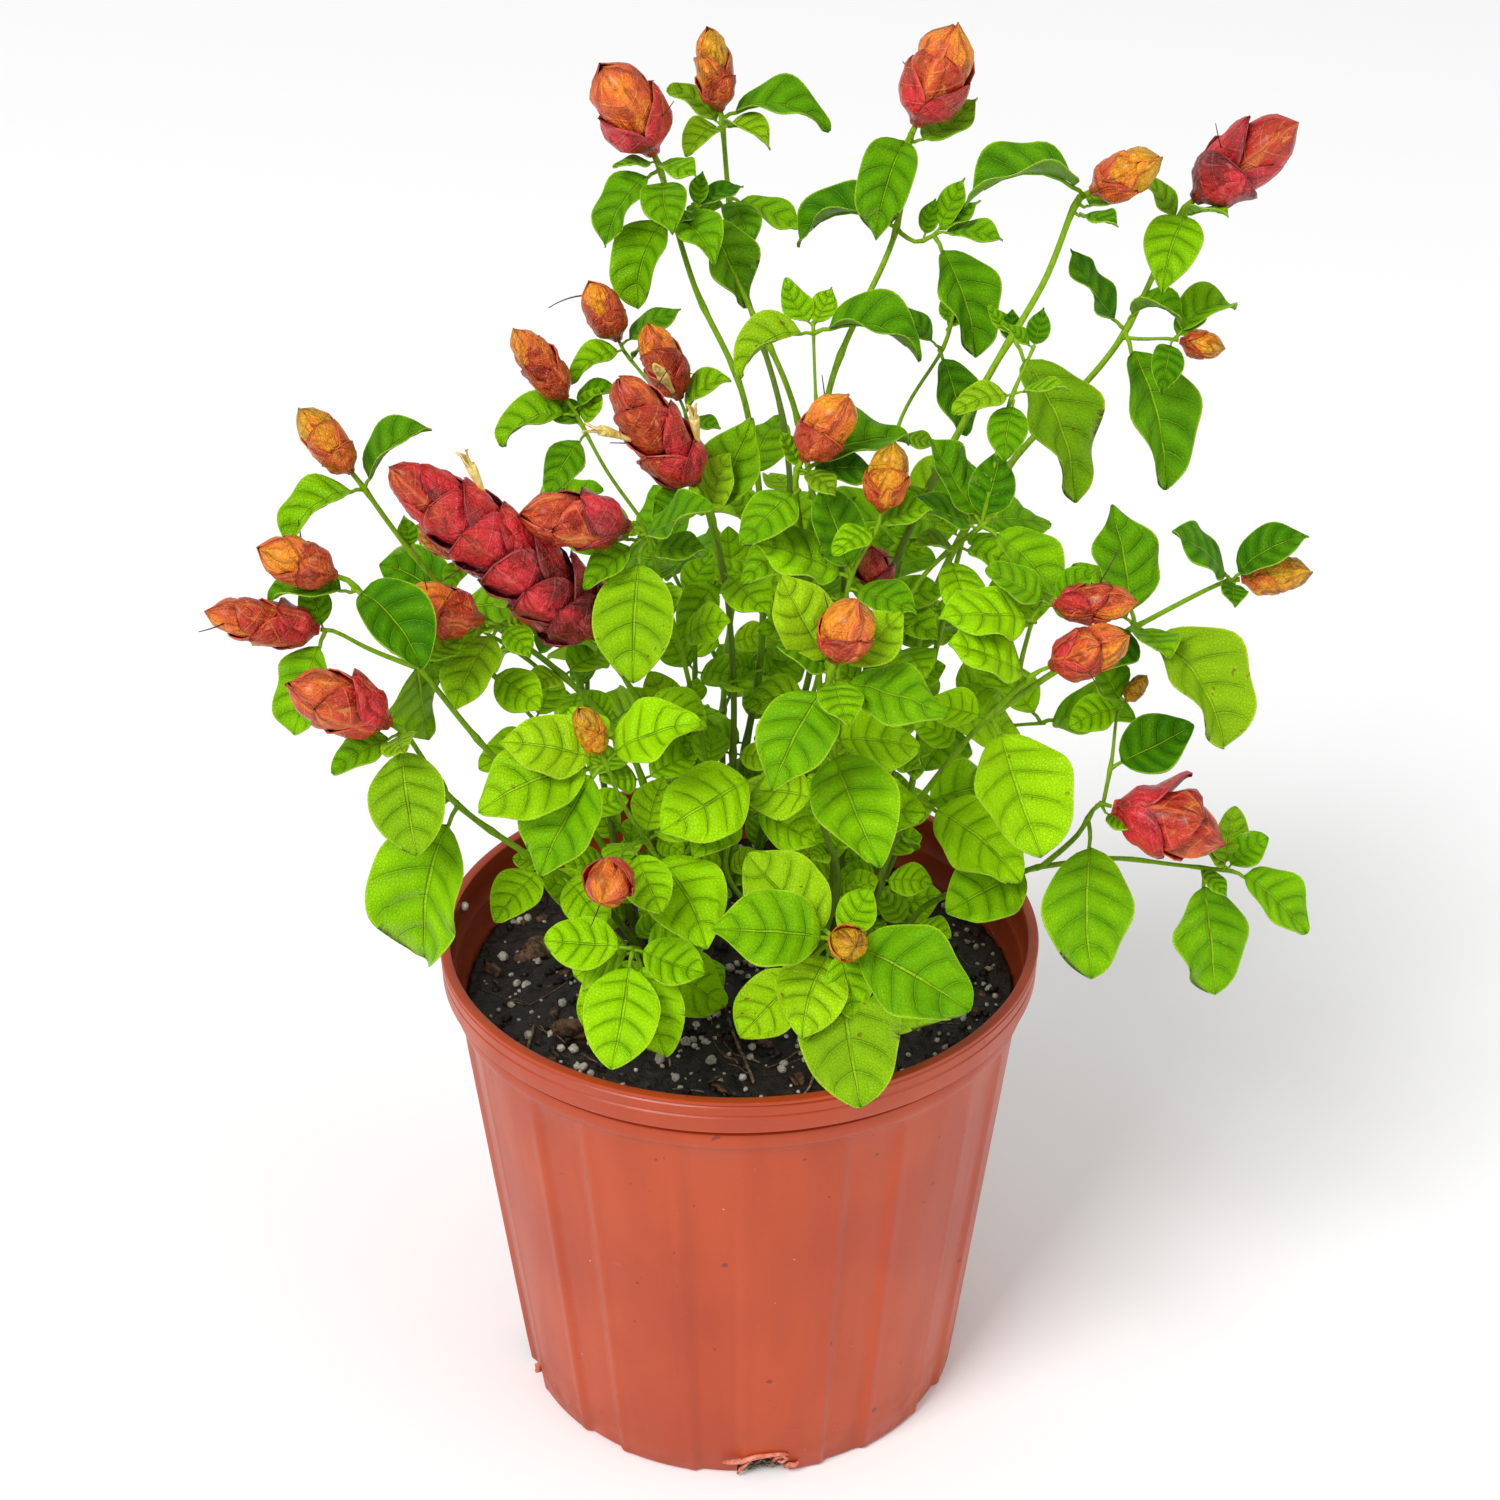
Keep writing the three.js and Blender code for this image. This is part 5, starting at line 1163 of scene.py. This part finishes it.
# ---- pot ----
pot = {"rimRadius": 108, "height": 187, "footRadius": 82, "wall": 2.2, "floor": 2.5, "collar": 13,
       "band": 8.5, "lip": 4, "collarStep": 3.6, "bandStep": 2.6, "steps": 396, "flutes": 11,
       "fluteDepth": 1.3, "fluteTurn": -62.6, "fluteHalf": 4.6, "fluteEdge": 1.7, "fluteBead": 0.4,
       "fluteFade": 4, "unevenness": 0.5, "sharpEdge": 38, "notchTurn": -84, "notches": 4}
collarFoot = pot["height"] - pot["collar"]
bandFoot = collarFoot - pot["band"]
wallTop = bandFoot - 2
wallTopRadius = pot["rimRadius"] - pot["collarStep"] - pot["bandStep"]
innerSlope = (wallTopRadius - pot["footRadius"]) / wallTop


def innerRadiusAt(level):
    return pot["footRadius"] - pot["wall"] + innerSlope * level


def potOutline():
    rim, top = pot["rimRadius"], pot["height"]
    collar, band = rim - pot["collarStep"], wallTopRadius
    inner = innerRadiusAt
    outside = [(0.5, 0), (30, 0), (60, 0), (pot["footRadius"] - 2.2, 0), (pot["footRadius"] - 0.8, 0.4),
               (pot["footRadius"], 1.5)]
    for step in range(1, 15):
        level = 1.5 + (wallTop - 3 - 1.5) * step / 14
        outside.append((pot["footRadius"] + innerSlope * level, level))
    outside += [(band - 0.1, wallTop - 1), (band + 0.2, wallTop), (collar - 1.6, wallTop + 0.8),
                (collar - 0.7, wallTop + 1.5), (collar - 0.3, bandFoot + 0.6), (collar - 0.1, bandFoot + 2),
                (collar - 0.1, bandFoot + 4.5), (collar - 0.4, collarFoot - 3.2),
                (collar - 1.6, collarFoot - 2.6), (collar - 1.8, collarFoot - 1), (collar - 1.6, collarFoot),
                (rim - 1.6, collarFoot), (rim - 0.9, collarFoot + 0.2), (rim - 0.6, collarFoot + 0.9),
                (rim - 0.5, collarFoot + 5.4), (rim - 0.35, collarFoot + 6.2),
                (rim - 0.8, collarFoot + 6.8), (rim - 0.3, collarFoot + 7.4), (rim - 0.2, top - 2.4),
                (rim - 0.8, top - 1.8), (rim - 0.1, top - 1.3), (rim, top - 0.8), (rim - 0.3, top - 0.2),
                (rim - 1, top), (rim - pot["lip"] + 1, top), (rim - pot["lip"] + 0.3, top - 0.3),
                (rim - pot["lip"], top - 1), (rim - pot["lip"], collarFoot + 6),
                (rim - pot["lip"] - 0.3, collarFoot + 1), (collar - pot["wall"] + 0.3, collarFoot - 0.5),
                (collar - pot["wall"], collarFoot - 1.4), (collar - pot["wall"] - 0.4, bandFoot + 1),
                (inner(wallTop) + 0.5, wallTop + 0.4), (inner(wallTop), wallTop - 1)]
    for step in range(1, 9):
        level = wallTop - 1 - (wallTop - 1 - pot["floor"]) * step / 8
        outside.append((inner(level), level))
    outside += [(50, pot["floor"]), (25, pot["floor"]), (0.5, pot["floor"])]
    return outside


def makePot():
    outline = potOutline()
    bm = bmesh.new()
    verts = [bm.verts.new((0, -radius, level)) for radius, level in outline]
    edges = [bm.edges.new(pair) for pair in zip(verts, verts[1:])]
    bmesh.ops.spin(bm, geom=verts + edges, axis=(0, 0, 1), cent=(0, 0, 0), angle=2 * math.pi,
                   steps=pot["steps"], use_merge=True)
    bmesh.ops.remove_doubles(bm, verts=bm.verts, dist=1e-3)
    bmesh.ops.holes_fill(bm, edges=[edge for edge in bm.edges if edge.is_boundary])
    bmesh.ops.recalc_face_normals(bm, faces=bm.faces)
    for vert in bm.verts:
        radius, level = math.hypot(vert.co.x, vert.co.y), vert.co.z
        azimuth = math.degrees(math.atan2(vert.co.y, vert.co.x))
        nudge = 0
        isWall = radius > 40 and level <= wallTop - 0.5
        if isWall:
            between = 360 / pot["flutes"]
            swing = (azimuth - pot["fluteTurn"]) % between
            away = min(swing, between - swing)
            fade = ease((wallTop - 1.5 - level) / pot["fluteFade"])
            past = (away - pot["fluteHalf"]) / pot["fluteEdge"]
            bead = pot["fluteBead"] * ease(1 - abs(past - 1.3))
            nudge += fade * (bead - pot["fluteDepth"] * ease(1 - past))
        place = Vector((vert.co.x, vert.co.y, level * 0.5)) * 0.014
        nudge += pot["unevenness"] * noise.noise(place + Vector((7, 3, 1))) * ease((radius - 60) / 20)
        scale = (radius + nudge) / radius if radius > 1 else 1
        vert.co.x *= scale
        vert.co.y *= scale
    for face in bm.faces:
        face.smooth = len(face.verts) == 4
    body = newPiece("nurseryPot", bm, [terracottaPlastic], ["pot"])
    body.data.shade_smooth()
    cutNotches(body)
    return body


notch = {"width": 20, "height": 9.5, "reach": 14, "teeth": 26, "ragged": 0.55}


def cutNotches(body):
    # ragged arches through the foot of the wall
    draws = random.Random(17)
    bm = bmesh.new()
    for index in range(pot["notches"]):
        turn = pot["notchTurn"] + index * 360 / pot["notches"]
        ring = [bm.verts.new((-notch["width"] / 2, 0, -2))]
        for tooth in range(notch["teeth"] + 1):
            share = tooth / notch["teeth"]
            across = -notch["width"] / 2 * math.cos(math.pi * share)
            rise = notch["height"] * math.sin(math.pi * share) ** 0.45
            rough = notch["ragged"] * draws.uniform(-1, 1) * math.sin(math.pi * share)
            ring.append(bm.verts.new((across * 0.96 + rough * 0.6, 0, max(-1, rise * 0.96 + rough))))
        ring.append(bm.verts.new((notch["width"] / 2, 0, -2)))
        face = bm.faces.new(ring)
        sweep = bmesh.ops.extrude_face_region(bm, geom=[face])["geom"]
        far = [item for item in sweep if isinstance(item, bmesh.types.BMVert)]
        bmesh.ops.translate(bm, verts=far, vec=(0, notch["reach"], 0))
        both = ring + far
        bmesh.ops.translate(bm, verts=both, vec=(0, pot["footRadius"] - 8, 0))
        turnBy = Vector((0, 1, 0)).rotation_difference(bearing(turn, 0)).to_matrix()
        bmesh.ops.rotate(bm, verts=both, cent=(0, 0, 0), matrix=turnBy)
    bmesh.ops.recalc_face_normals(bm, faces=bm.faces)
    bmesh.ops.scale(bm, vec=(mm, mm, mm), verts=bm.verts)
    mesh = bpy.data.meshes.new("cutter")
    bm.to_mesh(mesh)
    bm.free()
    cutter = bpy.data.objects.new("cutter", mesh)
    bpy.context.scene.collection.objects.link(cutter)
    cut = body.modifiers.new("notches", "BOOLEAN")
    cut.operation, cut.solver, cut.object = "DIFFERENCE", "EXACT", cutter
    view = bpy.context.evaluated_depsgraph_get()
    finished = bpy.data.meshes.new_from_object(body.evaluated_get(view))
    body.modifiers.clear()
    body.data = finished
    body.data.set_sharp_from_angle(angle=radians(pot["sharpEdge"]))
    bpy.data.objects.remove(cutter)


# Torn plastic at the front notch, as routes of [aside, level, thickness].
burrs = [[[-15, 7.4, 0.4], [-12, 7.8, 0.9], [-8, 8.6, 1.1], [-4, 10.2, 1], [1, 11, 0.9], [6, 11, 0.8],
          [9, 10, 0.5]],
         [[3.5, 7.6, 0.6], [4.5, 9.4, 0.8], [7, 9.8, 0.8], [8.4, 8, 0.8], [6.6, 6.6, 0.7], [5, 7.4, 0.5]],
         [[7.5, 3.5, 0.6], [9.5, 4.6, 1.1], [11.5, 4.2, 1], [13, 5, 0.4]],
         [[-9.4, 1.5, 0.5], [-8.4, 4, 0.7], [-6, 7, 0.6], [-4, 9, 0.4]]]


rootlet = {"count": 16, "depth": 3.2, "radius": 0.34}


def makeBurrs():
    draws = random.Random(5)

    def onWall(aside, level, out):
        turn = radians(pot["notchTurn"]) + aside / pot["footRadius"]
        reach = pot["footRadius"] + innerSlope * level + out
        return Vector((math.cos(turn) * reach, math.sin(turn) * reach, level))

    bm = bmesh.new()
    addTubes(bm, [[(onWall(aside, level, 0.2 + size * 0.6), size) for aside, level, size in route]
                  for route in burrs], 8, 0)
    addPebble(bm, onWall(-103, 10, 0.6), 1.7, (0.8, 1), draws, 0.6)
    newPiece("tornNotchEdge", bm, [tornPlastic])
    routes = []
    for _ in range(rootlet["count"]):
        aside, level, bend = draws.uniform(-8, 8), draws.uniform(1.5, 7), draws.uniform(-1, 1)
        route = []
        for step in range(7):
            rise = clamp(level + math.sin(step * 0.9 + bend * 5), 0.6, 9)
            inside = 1.2 * math.sin(step + bend) - rootlet["depth"]
            route.append((onWall(aside + 1.6 * (step - 3) * bend, rise, inside), rootlet["radius"]))
        routes.append(route)
    bm = bmesh.new()
    addTubes(bm, routes, 6, 0)
    newPiece("rootsInNotch", bm, [fibreBrown])


# ---- soil and what lies on it ----
earth = {"grid": 150, "fit": 0.5, "lump": 1.6, "crumb": 1.5, "perlite": 560, "bark": 60, "fibres": 90,
         "crumbs": 420, "levels": [150, 90, 40], "smallPerlite": [0.5, 1.2], "largePerlite": [1.2, 2.1],
         "smallShare": 0.72, "largeBark": [[-76, 19, 7], [-59, -32, 9], [38, -84, 7.5], [53, -57, 6],
                                           [-20, -86, 5]],
         "longFibres": [[[5, -66], [-4, -24]], [[-75, -46], [-73, -30]]]}


def soilLevel(x, y):
    radius, angle = math.hypot(x, y), math.atan2(y, x)
    swell = math.sin(angle * 3 + radius * 0.09) + math.cos(angle * 5 - radius * 0.06)
    level = soilTop + earth["lump"] * swell / 2
    near = noise.voronoi(Vector((x, y, 0)) * 0.17)[0][0]
    level += earth["crumb"] * (0.55 - near)
    level += 1.1 * noise.fractal(Vector((x, y, 4)) * 0.12, 0.9, 2.1, 4)
    return level


def makeSoil():
    topRadius = innerRadiusAt(soilTop) - earth["fit"]
    bm = bmesh.new()
    bmesh.ops.create_grid(bm, x_segments=earth["grid"], y_segments=earth["grid"], size=1)
    for vert in bm.verts:
        x, y = vert.co.x, vert.co.y
        vert.co = Vector((x * math.sqrt(1 - y * y / 2), y * math.sqrt(1 - x * x / 2), 0)) * topRadius
        vert.co.z = soilLevel(vert.co.x, vert.co.y)
    rim = [edge for edge in bm.edges if edge.is_boundary]
    for level in (*earth["levels"], pot["floor"] + fitGap):
        sweep = bmesh.ops.extrude_edge_only(bm, edges=rim)["geom"]
        rim = [item for item in sweep if isinstance(item, bmesh.types.BMEdge)]
        radius = innerRadiusAt(level) - earth["fit"]
        for vert in {vert for edge in rim for vert in edge.verts}:
            flat = Vector((vert.co.x, vert.co.y, 0)).normalized() * radius
            vert.co = flat + Vector((0, 0, level))
    bmesh.ops.holes_fill(bm, edges=rim)
    bmesh.ops.recalc_face_normals(bm, faces=bm.faces)
    for face in bm.faces:
        face.smooth = len(face.verts) == 4
    newPiece("pottingMix", bm, [soilBlack], ["soil"])


def scatterOn(draws, most=1.0):
    radius = (innerRadiusAt(soilTop) - 4) * math.sqrt(draws.random()) * most
    angle = draws.uniform(-math.pi, math.pi)
    x, y = radius * math.cos(angle), radius * math.sin(angle)
    return Vector((x, y, soilLevel(x, y)))


def addPebble(bm, place, size, flat, draws, lumps, sides=7):
    # a lumpy ball, turned at random and partly sunk
    verts = bmesh.ops.create_uvsphere(bm, u_segments=sides, v_segments=sides - 2, radius=1)["verts"]
    seed = Vector((draws.uniform(0, 99), 0, 0))
    turn = Vector((draws.uniform(-1, 1), draws.uniform(-1, 1), draws.uniform(0.3, 1))).to_track_quat("Z", "Y")
    for vert in verts:
        push = 1 + lumps * noise.noise(vert.co * 1.7 + seed)
        vert.co = turn @ Vector((vert.co.x * push * size, vert.co.y * push * size * flat[0],
                                 vert.co.z * push * size * flat[1])) + place
    for face in {face for vert in verts for face in vert.link_faces}:
        face.smooth = True


def makeTopDressing():
    draws = random.Random(8)
    bm = bmesh.new()
    for _ in range(earth["perlite"]):
        isSmall = draws.random() < earth["smallShare"]
        size = draws.uniform(*earth["smallPerlite" if isSmall else "largePerlite"])
        place = scatterOn(draws) + Vector((0, 0, size * draws.uniform(-0.1, 0.6)))
        addPebble(bm, place, size, (draws.uniform(0.75, 1), draws.uniform(0.7, 1)), draws, 0.35)
    newPiece("perlite", bm, [perliteWhite])
    bm = bmesh.new()
    turn = radians(169)
    bead = Vector((103 * math.cos(turn), 103 * math.sin(turn), 183))
    addPebble(bm, bead, 1.7, (1, 0.9), draws, 0.2, 12)
    newPiece("perliteOnWall", bm, [perliteWhite])
    bm = bmesh.new()
    for x, y, size in earth["largeBark"]:
        place = Vector((x, y, soilLevel(x, y) + size * 0.15))
        addPebble(bm, place, size, (0.75, 0.42), draws, 0.7, 14)
    for _ in range(earth["bark"]):
        size = draws.uniform(1.5, 4.2)
        place = scatterOn(draws) + Vector((0, 0, size * 0.1))
        addPebble(bm, place, size, (draws.uniform(0.35, 0.8), draws.uniform(0.2, 0.5)), draws, 0.8)
    newPiece("barkChips", bm, [barkBrown])
    bm = bmesh.new()
    for _ in range(earth["crumbs"]):
        size = draws.uniform(0.7, 2.4)
        place = scatterOn(draws) + Vector((0, 0, size * draws.uniform(0, 0.4)))
        addPebble(bm, place, size, (draws.uniform(0.6, 1), draws.uniform(0.5, 1)), draws, 0.9)
    newPiece("soilCrumbs", bm, [soilBlack])
    routes = []
    for start, end in earth["longFibres"]:
        run = [Vector(start).lerp(Vector(end), step / 8) for step in range(9)]
        routes.append([(Vector((spot.x, spot.y, soilLevel(*spot) + 1)), 0.6) for spot in run])
    for _ in range(earth["fibres"]):
        place = scatterOn(draws, 0.93)
        azimuth, reach = draws.uniform(0, 360), draws.uniform(6, 26)
        width = draws.uniform(0.18, 0.5) if draws.random() < 0.85 else draws.uniform(0.6, 1.1)
        bend = draws.uniform(-60, 60)
        route = []
        for step in range(6):
            place = place + bearing(azimuth + bend * step / 5, 0) * (reach / 5)
            if place.xy.length > innerRadiusAt(soilTop) - 3:
                break
            level = soilLevel(place.x, place.y) + width * 0.7
            route.append((Vector((place.x, place.y, level)), width * (1 - 0.1 * step)))
        if len(route) > 2:
            routes.append(route)
    bm = bmesh.new()
    addTubes(bm, routes, 6, 0)
    newPiece("fibres", bm, [fibreBrown])


# ---- building ----
print("pot")
makePot()
makeBurrs()
print("soil")
makeSoil()
makeTopDressing()
print("foliage")
heads = []
leafCount = sum(growPlant(index, plant, heads) for index, plant in enumerate(plants))
print("leaves", leafCount, "heads", len(heads))
for index, owner in enumerate(heads):
    makeHead(index, owner["head"], owner["tip"])
for index in range(len(corollas)):
    makeCorolla(index, heads)
makeStyles(heads)
print("heads")


# ---- studio ----
studio = {"focal": 3091, "frame": 1500, "rise": 29.5, "away": 1.08, "target": Vector((0.0037, 0, 0.2601)),
          "sky": 0.62, "floorSize": 30, "floorDrop": 0.0002}
# Each light is [name, place, size, power].
lamps = [["keyLight", (-4.2, -5.74, 7.56), 4.2, 820], ["fillLight", (1.7, -0.9, 1.0), 1.6, 9]]


def makeStudio():
    lens = bpy.data.cameras.new("camera")
    lens.sensor_width = 36
    lens.lens = studio["focal"] * lens.sensor_width / studio["frame"]
    lens.clip_end = 30
    camera = bpy.data.objects.new("camera", lens)
    rise = radians(studio["rise"])
    camera.location = studio["target"] + Vector((0, -math.cos(rise), math.sin(rise))) * studio["away"]
    camera.rotation_euler = (math.pi / 2 - rise, 0, 0)
    bpy.context.scene.collection.objects.link(camera)
    bpy.context.scene.camera = camera

    bm = bmesh.new()
    bmesh.ops.create_grid(bm, x_segments=1, y_segments=1, size=studio["floorSize"])
    mesh = bpy.data.meshes.new("floor")
    bm.to_mesh(mesh)
    bm.free()
    paper = Finish("paper", {"Base Color": (0.92, 0.92, 0.92, 1), "Roughness": 0.9,
                             "Specular IOR Level": 0.1})
    mesh.materials.append(paper.material)
    floor = bpy.data.objects.new("floor", mesh)
    floor.location.z = -studio["floorDrop"]
    bpy.context.scene.collection.objects.link(floor)

    world = bpy.data.worlds.new("sky")
    bpy.context.scene.world = world
    world.use_nodes = True
    world.node_tree.nodes["Background"].inputs[0].default_value = (1, 1, 1, 1)
    world.node_tree.nodes["Background"].inputs[1].default_value = studio["sky"]
    for name, place, size, power in lamps:
        light = bpy.data.lights.new(name, "AREA")
        light.size = size
        light.energy = power
        lamp = bpy.data.objects.new(name, light)
        lamp.location = place
        lamp.rotation_euler = (studio["target"] - Vector(place)).to_track_quat("-Z", "Y").to_euler()
        bpy.context.scene.collection.objects.link(lamp)
    bpy.context.scene.view_settings.view_transform = "Standard"


makeStudio()
